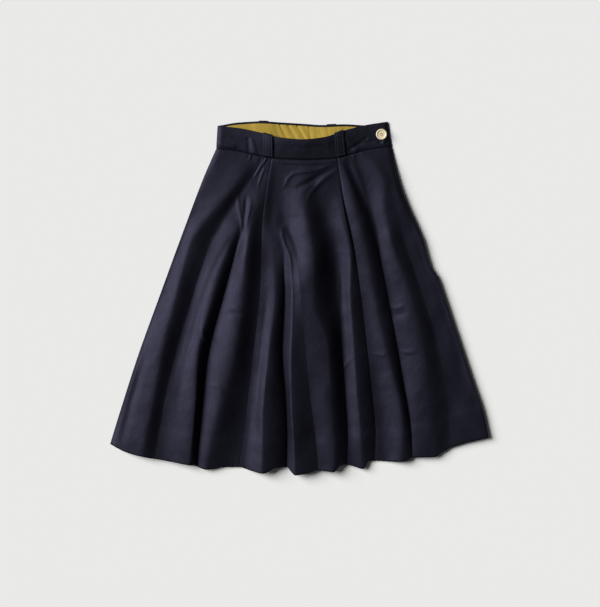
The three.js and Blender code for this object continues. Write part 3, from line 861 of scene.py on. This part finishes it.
# creases of the front band: across and share down at both ends, rise, reach in millimetres
BAND_CREASES = [
    ((-0.03, 0.74), (0.1, 0.84), 1.4, 5.5),
    ((0.0, 0.97), (0.16, 0.99), -0.6, 4.0),
    ((0.1, 0.42), (0.16, 0.5), -0.5, 7.0),
    ((0.18, 0.4), (0.186, 0.95), -0.9, 6.0),
    ((0.205, 0.4), (0.22, 0.88), 0.8, 7.0),
    ((0.45, 0.35), (0.62, 0.4), -0.35, 9.0),
    ((0.64, 0.7), (0.68, 0.98), 0.6, 7.0),
    ((0.745, 0.3), (0.8, 0.85), 1.2, 9.0),
    ((0.77, 0.78), (0.86, 0.55), -1.1, 6.0),
    ((0.8, 0.72), (0.93, 0.68), -0.8, 5.0),
    ((0.985, 0.55), (0.955, 0.85), 1.1, 4.0),
    ((0.97, 0.5), (0.935, 0.78), -0.9, 4.0),
    ((0.88, 0.15), (0.93, 0.3), -0.6, 8.0),
]


def band_creases(across, share):
    """How far the creases of the front band lift it."""
    lift = np.zeros(np.broadcast(across, share).shape)
    for start, end, rise, reach in BAND_CREASES:
        a = np.array(start) * (BAND_WIDTH, BAND_HEIGHT)
        b = np.array(end) * (BAND_WIDTH, BAND_HEIGHT)
        px, py = across * BAND_WIDTH - a[0], share * BAND_HEIGHT - a[1]
        run = b - a
        t = np.clip((px * run[0] + py * run[1]) / (run @ run), 0, 1)
        far = np.hypot(px - t * run[0], py - t * run[1])
        lift = lift + rise * bump(far / reach)
    return lift


def band_normals(points):
    n = normals_of(points)
    return n * np.sign(n[..., 2:3])


def folded_band(points_at, across, outward, lift_of):
    """The band's middle surface: its face, the fold at its top edge and a little of its inside."""
    share = np.linspace(1, 0, BAND_ROWS + 1)[:, None]
    face = points_at(np.broadcast_to(across, (len(share), across.shape[1])), share)
    n = band_normals(face)
    face = face + n * (lift_of(across, share)[..., None] if lift_of else 0)
    top, up = face[-1], n[-1]
    along_band = np.gradient(top, axis=0)
    over = np.cross(up, along_band)
    over /= np.linalg.norm(over, axis=-1, keepdims=True)
    over *= np.sign(over[:, 1:2])
    radius = (CLOTH + GAP) / 2 + FOLD_EASE
    fold = []
    for i in range(1, ROLL_ROWS + 1):
        angle = math.pi * min(i / TURN_ROWS, 1)
        inside = max(i - TURN_ROWS, 0) / (ROLL_ROWS - TURN_ROWS) * ROLL
        sink = -outward * up * radius * (1 - math.cos(angle))
        fold.append(top + sink + over * radius * math.sin(angle) - over * inside)
    return np.concatenate([face, np.stack(fold)])


def front_band_lift(across, share):
    """The roll of the top edge, the line of stitches under it, the seam ditch and the creases."""
    down_mm = share * BAND_HEIGHT
    roll = -1.1 * (1 - ease(down_mm / 7.5)) - 0.3 * np.exp(-(((down_mm - 8) / 1.0) ** 2))
    ditch = -0.8 * np.exp(-(((BAND_HEIGHT - down_mm) / 1.8) ** 2))
    fade = ease(share / 0.12)
    swell = 0.25 * np.sin(across * 41 + 1.3) * np.sin(share * 5 + across * 9)
    return roll + ditch + (band_creases(across, share) + swell) * fade


def back_band(across, share):
    y = lerp(band_top_back(across), back_seam(across) + WAIST_GAP / 2, share)
    z = CLOTH / 2 + lift_over_loops(across, 0)
    return np.stack(np.broadcast_arrays(band_x(across, share), y, z), -1)


columns = np.linspace(0, 1, BAND_COLUMNS + 1)[None, :]
front_face = folded_band(band_front, columns, 1, front_band_lift)
for column in (0, -1):
    front_face = meet_at_side(front_face, column, BAND_SIDE_LIES)
back_face = folded_band(back_band, columns, -1, None)
skirt["waistband_front"] = sheet_mesh("waistband_front_cloth", front_face[::-1], CLOTH)
skirt["waistband_back"] = sheet_mesh("waistband_back_cloth", back_face, CLOTH)
for name in ("waistband_front", "waistband_back"):
    print_sheet(name)

# %% [markdown]
# ## The facing
#
# The facing is a second strip in a mustard cotton, sewn to the band just inside its top edge. Where the
# mouth gapes it shows long slanting drag wrinkles, because it was cut a little off the grain.

# %% Facing
# wrinkles of the back facing: across at the top edge, slant to the right in millimetres, rise, half width
WRINKLES = [
    (0.2, 5, -0.3, 5.0),
    (0.3, 9, -0.3, 4.0),
    (0.345, 12, 0.5, 3.5),
    (0.36, 14, -1.1, 2.4),
    (0.385, 14, 0.6, 3.6),
    (0.407, 16, -1.2, 2.4),
    (0.43, 16, 0.7, 3.8),
    (0.458, 17, -1.5, 2.6),
    (0.485, 14, 0.7, 4.2),
    (0.535, 2, -0.9, 2.6),
    (0.56, 1, 0.4, 3.4),
    (0.6, 3, -0.3, 3.6),
    (0.645, 1, -0.4, 3.0),
    (0.7, -2, -0.35, 4.0),
    (0.76, -4, 0.3, 5.0),
]
# the rows and columns of a facing, how far in from the band's sides it ends, and how far the wrinkled
# one stands off the band
FACING_ROWS = 36
FACING_COLUMNS = 180
FACING_SET_IN = 0.022
FACING_STANDS = 0.9


def facing_wrinkles(across, share):
    lift = np.zeros(np.broadcast(across, share).shape)
    for at, slant, rise, half_width in WRINKLES:
        away = (across - at) * BAND_WIDTH - slant * share / 0.7
        lift = lift + rise * bump(away / half_width) * ease(share / 0.15 + 0.25)
    return lift


def facing(name, points_at, outward, share_from, share_to, wrinkled):
    share = np.linspace(share_from, share_to, FACING_ROWS)[:, None]
    across = np.linspace(FACING_SET_IN, 1 - FACING_SET_IN, FACING_COLUMNS)[None, :]
    wall = points_at(np.broadcast_to(across, (len(share), across.shape[1])), share)
    n = band_normals(wall)
    wall = wall - outward * n * ((CLOTH + FACING) / 2 + GAP + FOLD_EASE)
    if wrinkled:
        lift = facing_wrinkles(across, share) + FACING_STANDS
    else:
        lift = np.minimum(band_creases(across, share), 0)
    wall = wall + n * lift[..., None]
    skirt[name] = sheet_mesh(name + "_cloth", wall, FACING)
    print_sheet(name)


facing("facing_front", band_front, 1, 0.06, 0.93, False)
facing("facing_back", back_band, -1, 0.075, 1, True)

# %% [markdown]
# ## Belt loops
#
# Each loop is a folded strip, stitched along both edges and sewn down at both ends. The front loops bow
# off the band, so a dark gap shows beside them. The back loops are pressed flat under the back band and
# only their ends show past its top edge.

# %% Loops
LOOP_THICK = 1.1
LOOP_BOW = 1.8
LOOP_ROWS = 44
LOOP_COLUMNS = 40
LOOPS = {
    "belt_loop_front_left": (0.297, True),
    "belt_loop_front_right": (0.712, True),
    "belt_loop_back_left": (BACK_LOOPS_ACROSS[0], False),
    "belt_loop_back_right": (BACK_LOOPS_ACROSS[1], False),
}


def loop_grid(across, in_front):
    half = LOOP_WIDTH / 2 / BAND_WIDTH
    share = np.linspace(-LOOP_PAST_TOP / BAND_HEIGHT, 0.985, LOOP_ROWS + 1)[:, None]
    side = np.linspace(-1, 1, LOOP_COLUMNS + 1)[None, :]
    points_at = band_front if in_front else back_band
    grid = points_at(across + half * np.broadcast_to(side, (len(share), side.shape[1])), share)
    edge = -0.45 * np.abs(side) ** 8 - 0.4 * np.exp(-(((np.abs(side) - 0.6) / 0.09) ** 2))
    if in_front:
        inside = np.clip(share, 0, 1)
        bow = (LOOP_BOW - 0.2 * side) * np.sin(np.pi * inside)
        over_top = -2.4 * ease(-share / (LOOP_PAST_TOP / BAND_HEIGHT)) ** 2
        grid[..., 2] += (CLOTH + LOOP_THICK) / 2 + 0.75 + bow + over_top + edge
    else:
        grid[..., 2] = LOOP_WALL / 2
    return grid


loop_grids = {name: loop_grid(across, in_front) for name, (across, in_front) in LOOPS.items()}
for name, grid in loop_grids.items():
    skirt[name] = sheet_mesh(name + "_cloth", grid, LOOP_THICK)
print(len(LOOPS), "loops, each", LOOP_WIDTH, "mm wide")

# %% [markdown]
# ## Stitches
#
# A stitch is a short length of thread that bows over the cloth and dives in at both ends. One function
# lays any row of them as a single mesh, so that a row costs one object.


# %% Stitch rows
STITCH_SIDES = 6
# the rings of one stitch: place along it, share of the thread's radius, and height in such radii
STITCH_STATIONS = [
    (-0.5, 0.35, -0.7),
    (-0.34, 0.9, 0.35),
    (0, 1.0, 0.75),
    (0.34, 0.9, 0.35),
    (0.5, 0.35, -0.7),
]
EDGE_STITCHES_DOWN = 8


def stitches(name, places, headings, ups, length, radius):
    """One mesh of stitches at the places, along the headings, on faces that look to ups."""
    headings = headings / np.linalg.norm(headings, axis=1, keepdims=True)
    sides = np.cross(ups, headings)
    angles = np.arange(STITCH_SIDES) * 2 * math.pi / STITCH_SIDES
    verts, faces = [], []
    for place, heading, up, side in zip(places, headings, ups, sides):
        base = len(verts)
        for run, fat, high in STITCH_STATIONS:
            middle = place + heading * run * length + up * high * radius
            for angle in angles:
                verts.append(middle + fat * radius * (side * math.cos(angle) + up * math.sin(angle)))
        for ring in range(len(STITCH_STATIONS) - 1):
            a = base + ring * STITCH_SIDES
            for i in range(STITCH_SIDES):
                j = (i + 1) % STITCH_SIDES
                faces.append([a + i, a + STITCH_SIDES + i, a + STITCH_SIDES + j, a + j])
        last = base + (len(STITCH_STATIONS) - 1) * STITCH_SIDES
        faces.append([base + i for i in range(STITCH_SIDES)])
        faces.append([last + i for i in reversed(range(STITCH_SIDES))])
    return smooth_piece(name, np.array(verts), faces)


def row_along(line, ups, spacing):
    """Places, headings and ups at even steps along a line of points."""
    s = np.concatenate([[0], np.cumsum(np.linalg.norm(np.diff(line, axis=0), axis=1))])
    at = np.arange(spacing, s[-1] - spacing / 2, spacing)
    lines = (line, np.gradient(line, axis=0), ups)
    return [np.stack([np.interp(at, s, values[:, i]) for i in range(3)], -1) for values in lines]


def on_face(grid, thickness):
    """A grid's outer face, and its normals."""
    n = band_normals(grid)
    return grid + n * thickness / 2, n


def join_rows(name, rows, length, radius):
    places, headings, ups = (np.concatenate(part) for part in zip(*rows))
    return stitches(name, places, headings, ups, length, radius)


threads = {}
face, face_n = on_face(front_face[: BAND_ROWS + 1], CLOTH)
edge_row = round((1 - EDGE_STITCHES_DOWN / BAND_HEIGHT) * BAND_ROWS)
threads["band_edge_stitches"] = (
    join_rows("band_edge_stitches", [row_along(face[edge_row], face_n[edge_row], 3.0)], 2.3, 0.2),
    "navy_satin",
)

loop_rows = []
for name, (across, in_front) in LOOPS.items():
    if not in_front:
        continue
    loop_face, loop_n = on_face(loop_grids[name], LOOP_THICK)
    for column in (8, LOOP_COLUMNS - 8):
        loop_rows.append(row_along(loop_face[:, column], loop_n[:, column], 2.8))
    for row in (7, 8, LOOP_ROWS - 3):
        loop_rows.append(row_along(loop_face[row, 3:-3], loop_n[row, 3:-3], 1.3))
threads["loop_stitches"] = (join_rows("loop_stitches", loop_rows, 1.9, 0.2), "navy_satin")

# %% [markdown]
# ## The button
#
# The button is turned from a pale shell blank: a dished face, a raised rim and four drilled holes. Its
# outline is spun round its axis and the holes are cut with a boolean, as a lathe and a drill would. Two
# bars of mustard thread hold it.

# %% Button
BUTTON_STEPS = 96
HOLE_RADIUS = 0.95
HOLE_OUT = 1.34
button_base = np.array([*((button_low + button_high) / 2)[:2], button_low[2]])
BUTTON_PROFILE = [
    (0.0, 0.0),
    (7.4, 0.0),
    (8.6, 0.35),
    (9.6, 0.9),
    (10.15, 1.5),
    (10.3, 2.05),
    (10.15, 2.55),
    (9.75, 2.95),
    (9.2, 3.15),
    (8.7, 3.2),
    (8.2, 3.1),
    (7.8, 2.85),
    (7.4, 2.5),
    (6.9, 2.25),
    (6.0, 2.08),
    (4.6, 2.0),
    (4.1, 2.12),
    (3.7, 2.12),
    (3.2, 2.0),
    (0.0, 1.95),
]


def turned(name, profile, steps):
    """A solid of revolution from (radius, height) pairs that start and end on the axis."""
    bm = bmesh.new()
    rings = []
    for radius, height in profile:
        angles = [2 * math.pi * i / steps for i in range(steps if radius else 1)]
        spots = [(radius * math.cos(a), radius * math.sin(a), height) for a in angles]
        rings.append([bm.verts.new(spot) for spot in spots])
    for low, high in zip(rings, rings[1:]):
        for i in range(steps):
            j = (i + 1) % steps
            corners = [low[i % len(low)], low[j % len(low)], high[j % len(high)], high[i % len(high)]]
            bm.faces.new(list(dict.fromkeys(corners)))
    bmesh.ops.recalc_face_normals(bm, faces=bm.faces)
    for vert in bm.verts:
        vert.co = (vert.co + Vector(button_base)) * MM
    mesh = bpy.data.meshes.new(name)
    bm.to_mesh(mesh)
    bm.free()
    return add_object(name, mesh)


button = turned("button_turned", BUTTON_PROFILE, BUTTON_STEPS)
holes = [(x * HOLE_OUT, y * HOLE_OUT) for x in (-1, 1) for y in (-1, 1)]
for x, y in holes:
    bpy.ops.mesh.primitive_cylinder_add(
        vertices=20,
        radius=HOLE_RADIUS * MM,
        depth=12 * MM,
        location=[(c + o) * MM for c, o in zip(button_base, (x, y, 0))],
    )
    drill = bpy.context.object
    cut = button.modifiers.new("hole", "BOOLEAN")
    cut.object = drill
    cut.operation = "DIFFERENCE"
    cut.solver = "EXACT"
    bpy.context.view_layer.objects.active = button
    bpy.ops.object.modifier_apply(modifier=cut.name)
    bpy.data.objects.remove(drill)
button.data.polygons.foreach_set("use_smooth", np.ones(len(button.data.polygons), bool))
for edge in button.data.edges:
    edge.use_edge_sharp = False
button.data.set_sharp_from_angle(angle=math.radians(40))
skirt["button"] = button
bars = np.array([button_base - SHIFT + (0, y * HOLE_OUT, 2.0) for y in (-1, 1) for _ in range(3)])
bars[:, 1] += np.tile([-0.35, 0.0, 0.35], 2)
headings, ups = (np.tile(way, (len(bars), 1)) for way in ([1.0, 0, 0], [0, 0, 1.0]))
threads["button_thread"] = (
    stitches("button_thread", bars, headings, ups, length=3.5, radius=0.26),
    "mustard_facing",
)
print("button", len(button.data.polygons), "faces")

# %% [markdown]
# ## Patterns that several finishes share
#
# The weave, the unevenness of the dye and the fine crumple of handled cloth are wanted in more than one
# material, so each is a node group with named sockets. Each puts out only values, and the shader itself
# stays in the material.


# %% Node helpers
class Nodes:
    """Adds nodes to a tree and joins them, left to right."""

    def __init__(self, tree):
        self.tree = tree
        self.count = 0

    def add(self, kind, **settings):
        node = self.tree.nodes.new(kind)
        node.location = (200 * self.count, 0)
        self.count += 1
        for key, value in settings.items():
            setattr(node, key, value)
        return node

    def put(self, value, socket):
        if isinstance(value, bpy.types.NodeSocket):
            self.tree.links.new(value, socket)
        else:
            socket.default_value = value

    def maths(self, operation, *values):
        node = self.add("ShaderNodeMath", operation=operation)
        for value, socket in zip(values, node.inputs):
            self.put(value, socket)
        return node.outputs[0]

    def noise(self, place, scale, detail, roughness=0.5):
        node = self.add("ShaderNodeTexNoise")
        self.put(place, node.inputs["Vector"])
        self.put(scale, node.inputs["Scale"])
        node.inputs["Detail"].default_value = detail
        node.inputs["Roughness"].default_value = roughness
        return node.outputs["Fac"]

    def between(self, value, low, high):
        node = self.add("ShaderNodeMapRange")
        self.put(value, node.inputs["Value"])
        node.inputs["From Min"].default_value = 0.25
        node.inputs["From Max"].default_value = 0.75
        self.put(low, node.inputs["To Min"])
        self.put(high, node.inputs["To Max"])
        return node.outputs["Result"]


def new_group(name, inputs, outputs):
    """A shader node group with those sockets, and its two end nodes."""
    tree = bpy.data.node_groups.new(name, "ShaderNodeTree")
    for label, kind, value in inputs:
        socket = tree.interface.new_socket(label, in_out="INPUT", socket_type=kind)
        if value is not None:
            socket.default_value = value
    for label, kind in outputs:
        tree.interface.new_socket(label, in_out="OUTPUT", socket_type=kind)
    nodes = Nodes(tree)
    return nodes, nodes.add("NodeGroupInput").outputs, nodes.add("NodeGroupOutput").inputs


# %% The satin weave
# Warp floats lie side by side and dive under a weft at steps of two, which gives satin its faint slant.
nodes, given, out = new_group(
    "Satin weave",
    [("Place", "NodeSocketVector", None), ("Yarns per metre", "NodeSocketFloat", 2200.0)],
    [("Height", "NodeSocketFloat")],
)
split = nodes.add("ShaderNodeSeparateXYZ")
nodes.put(given["Place"], split.inputs[0])
warp = nodes.maths("MULTIPLY", split.outputs["X"], given["Yarns per metre"])
weft = nodes.maths("MULTIPLY", split.outputs["Y"], given["Yarns per metre"])
ribs = nodes.maths("ABSOLUTE", nodes.maths("SINE", nodes.maths("MULTIPLY", warp, math.pi)))
step = nodes.maths("ADD", warp, nodes.maths("MULTIPLY", weft, 2.0))
slant = nodes.maths("SINE", nodes.maths("MULTIPLY", step, 2 * math.pi / 5))
height = nodes.maths("ADD", nodes.maths("MULTIPLY", ribs, 0.6), nodes.maths("MULTIPLY", slant, 0.4))
nodes.put(height, out["Height"])
SATIN_WEAVE = nodes.tree

# %% Uneven dye
nodes, given, out = new_group(
    "Uneven dye",
    [("Place", "NodeSocketVector", None), ("Patches per metre", "NodeSocketFloat", 14.0)],
    [("Shade", "NodeSocketFloat"), ("Streaks", "NodeSocketFloat")],
)
patches = nodes.noise(given["Place"], given["Patches per metre"], 4)
stretch = nodes.add("ShaderNodeVectorMath", operation="MULTIPLY")
nodes.put(given["Place"], stretch.inputs[0])
stretch.inputs[1].default_value = (1.0, 0.06, 1.0)
streaks = nodes.noise(stretch.outputs[0], nodes.maths("MULTIPLY", given["Patches per metre"], 40.0), 2)
nodes.put(patches, out["Shade"])
nodes.put(streaks, out["Streaks"])
UNEVEN_DYE = nodes.tree

# %% Handled cloth
nodes, given, out = new_group(
    "Handled cloth",
    [("Place", "NodeSocketVector", None), ("Crumples per metre", "NodeSocketFloat", 28.0)],
    [("Height", "NodeSocketFloat")],
)
broad = nodes.noise(given["Place"], given["Crumples per metre"], 2)
fine = nodes.noise(given["Place"], nodes.maths("MULTIPLY", given["Crumples per metre"], 3.7), 3, 0.6)
nodes.put(nodes.maths("ADD", broad, nodes.maths("MULTIPLY", fine, 0.16)), out["Height"])
HANDLED_CLOTH = nodes.tree
print("groups:", [tree.name for tree in bpy.data.node_groups])

# %% [markdown]
# ## Finishes
#
# The navy is a heavy cotton satin. Its dark dye takes most of the light, so what shows of a fold is the
# satin's broad sheen on the side that faces the light. The facing is a matt cotton. The button is pale
# polished shell.


# %% Cloth material
def cloth_material(name, dark, light, rough, gloss, gloss_tint, yarns, weave_depth, crumple_depth):
    """A woven cloth. dark and light are the limits of the dye, rough the limits of the roughness."""
    material = bpy.data.materials.new(name)
    material.use_nodes = True
    shader = material.node_tree.nodes["Principled BSDF"]
    nodes = Nodes(material.node_tree)
    place = nodes.add("ShaderNodeUVMap", uv_map="cloth").outputs[0]
    dye = nodes.add("ShaderNodeGroup", node_tree=UNEVEN_DYE)
    weave = nodes.add("ShaderNodeGroup", node_tree=SATIN_WEAVE)
    crumple = nodes.add("ShaderNodeGroup", node_tree=HANDLED_CLOTH)
    for group in (dye, weave, crumple):
        nodes.put(place, group.inputs["Place"])
    weave.inputs["Yarns per metre"].default_value = yarns
    tone = nodes.maths("ADD", dye.outputs["Shade"], nodes.maths("MULTIPLY", dye.outputs["Streaks"], 0.35))
    mix = nodes.add("ShaderNodeMix", data_type="RGBA")
    nodes.put(nodes.between(tone, 0.0, 1.0), mix.inputs["Factor"])
    mix.inputs["A"].default_value = (*dark, 1)
    mix.inputs["B"].default_value = (*light, 1)
    nodes.put(mix.outputs["Result"], shader.inputs["Base Color"])
    nodes.put(nodes.between(dye.outputs["Streaks"], *rough), shader.inputs["Roughness"])
    crumpled = nodes.add("ShaderNodeBump")
    crumpled.inputs["Distance"].default_value = crumple_depth
    nodes.put(crumple.outputs["Height"], crumpled.inputs["Height"])
    woven = nodes.add("ShaderNodeBump")
    woven.inputs["Distance"].default_value = weave_depth
    nodes.put(weave.outputs["Height"], woven.inputs["Height"])
    nodes.put(crumpled.outputs["Normal"], woven.inputs["Normal"])
    nodes.put(woven.outputs["Normal"], shader.inputs["Normal"])
    shader.inputs["Specular IOR Level"].default_value = gloss
    shader.inputs["Specular Tint"].default_value = (*gloss_tint, 1)
    return material


NAVY = cloth_material(
    "navy satin",
    dark=(0.0022, 0.0024, 0.0038),
    light=(0.0036, 0.0038, 0.006),
    rough=(0.54, 0.62),
    gloss=0.32,
    gloss_tint=(0.62, 0.6, 1.0),
    yarns=2200,
    weave_depth=0.00003,
    crumple_depth=0.0012,
)
MUSTARD = cloth_material(
    "mustard cotton",
    dark=(0.33, 0.212, 0.028),
    light=(0.43, 0.3, 0.048),
    rough=(0.75, 0.85),
    gloss=0.2,
    gloss_tint=(1.0, 1.0, 1.0),
    yarns=1700,
    weave_depth=0.00004,
    crumple_depth=0.0012,
)


# %% Thread, shell and tape
def plain_material(name, color, other, rough, scale, bump_depth, coat=0.0):
    """A finish whose colour and relief vary with a noise of the object's own place."""
    material = bpy.data.materials.new(name)
    material.use_nodes = True
    shader = material.node_tree.nodes["Principled BSDF"]
    nodes = Nodes(material.node_tree)
    place = nodes.add("ShaderNodeTexCoord").outputs["Object"]
    cloudy = nodes.noise(place, scale, 4, 0.6)
    mix = nodes.add("ShaderNodeMix", data_type="RGBA")
    nodes.put(nodes.between(cloudy, 0.0, 1.0), mix.inputs["Factor"])
    mix.inputs["A"].default_value = (*color, 1)
    mix.inputs["B"].default_value = (*other, 1)
    nodes.put(mix.outputs["Result"], shader.inputs["Base Color"])
    nodes.put(nodes.between(cloudy, *rough), shader.inputs["Roughness"])
    relief = nodes.add("ShaderNodeBump")
    relief.inputs["Distance"].default_value = bump_depth
    nodes.put(nodes.noise(place, scale * 6, 3), relief.inputs["Height"])
    nodes.put(relief.outputs["Normal"], shader.inputs["Normal"])
    shader.inputs["Coat Weight"].default_value = coat
    shader.inputs["Coat Roughness"].default_value = 0.12
    return material


SHELL = plain_material(
    "pale shell", (0.7, 0.58, 0.37), (0.79, 0.68, 0.47), (0.3, 0.42), 260, 0.00002, coat=0.25
)
NAVY_THREAD = plain_material(
    "navy thread", (0.012, 0.012, 0.026), (0.02, 0.02, 0.04), (0.5, 0.7), 900, 0.00005
)
MUSTARD_THREAD = plain_material(
    "mustard thread", (0.5, 0.36, 0.1), (0.62, 0.48, 0.16), (0.5, 0.7), 900, 0.00005
)
TAPE = plain_material("zip tape", (0.008, 0.008, 0.016), (0.012, 0.012, 0.024), (0.7, 0.9), 700, 0.0001)

FINISH = {"navy_satin": NAVY, "mustard_facing": MUSTARD, "shell_button": SHELL, "zip_tape": TAPE}
THREAD_FINISH = {"navy_satin": NAVY_THREAD, "mustard_facing": MUSTARD_THREAD}

# %% [markdown]
# ## Telling the frame what each piece is
#
# Each new piece stands for one node of the frame, rides on the skirt's only body and takes a slot from
# the record.

# %% Slots
SLOT_OF = {row["node"]: row["material_slot"] for row in frame["record"]["subparts"]}
for piece, slot in threads.values():
    piece.data.materials.append(THREAD_FINISH[slot])
    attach(piece, "root")
for node, piece in skirt.items():
    slot = SLOT_OF[node]
    piece.data.materials.clear()
    piece.data.materials.append(FINISH[slot])
    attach(piece, "root")
    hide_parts(node)
zip_tape = frame["nodes"]["side_zip"]
for material_slot in zip_tape.material_slots:
    material_slot.material = TAPE

# %% [markdown]
# ## The table, the light and the camera
#
# The skirt lies on a plain pale table, under one broad light from its upper left and a weak even fill.
# The camera looks straight down.

# %% Table
bpy.ops.mesh.primitive_plane_add(size=12, location=(0, 0, -0.0004))
floor = bpy.context.object
floor.name = "floor"
table = bpy.data.materials.new("pale table")
table.use_nodes = True
table_shader = table.node_tree.nodes["Principled BSDF"]
table_shader.inputs["Base Color"].default_value = (0.885, 0.885, 0.873, 1)
table_shader.inputs["Roughness"].default_value = 0.9
table_shader.inputs["Specular IOR Level"].default_value = 0.0
floor.data.materials.append(table)

# %% Light
LIGHT_FROM = Vector((-0.74, 0.3, 0.53))
key = bpy.data.objects.new("broad light", bpy.data.lights.new("broad light", "SUN"))
key.data.energy = 4.95
key.data.angle = math.radians(40)
key.rotation_euler = LIGHT_FROM.to_track_quat("Z", "Y").to_euler()
bpy.context.collection.objects.link(key)
world = bpy.context.scene.world or bpy.data.worlds.new("fill")
bpy.context.scene.world = world
world.use_nodes = True
sky = world.node_tree.nodes["Background"]
sky.inputs["Color"].default_value = (1, 1, 1, 1)
sky.inputs["Strength"].default_value = 0.055
bpy.context.scene.view_settings.view_transform = "Standard"

# %% Camera
camera = bpy.data.objects.new("camera", bpy.data.cameras.new("camera"))
bpy.context.collection.objects.link(camera)
camera.location = (0.0013, -0.0113, 2.6)
camera.data.sensor_width = 36
camera.data.lens = 81.2
camera.data.clip_end = 20
bpy.context.scene.camera = camera
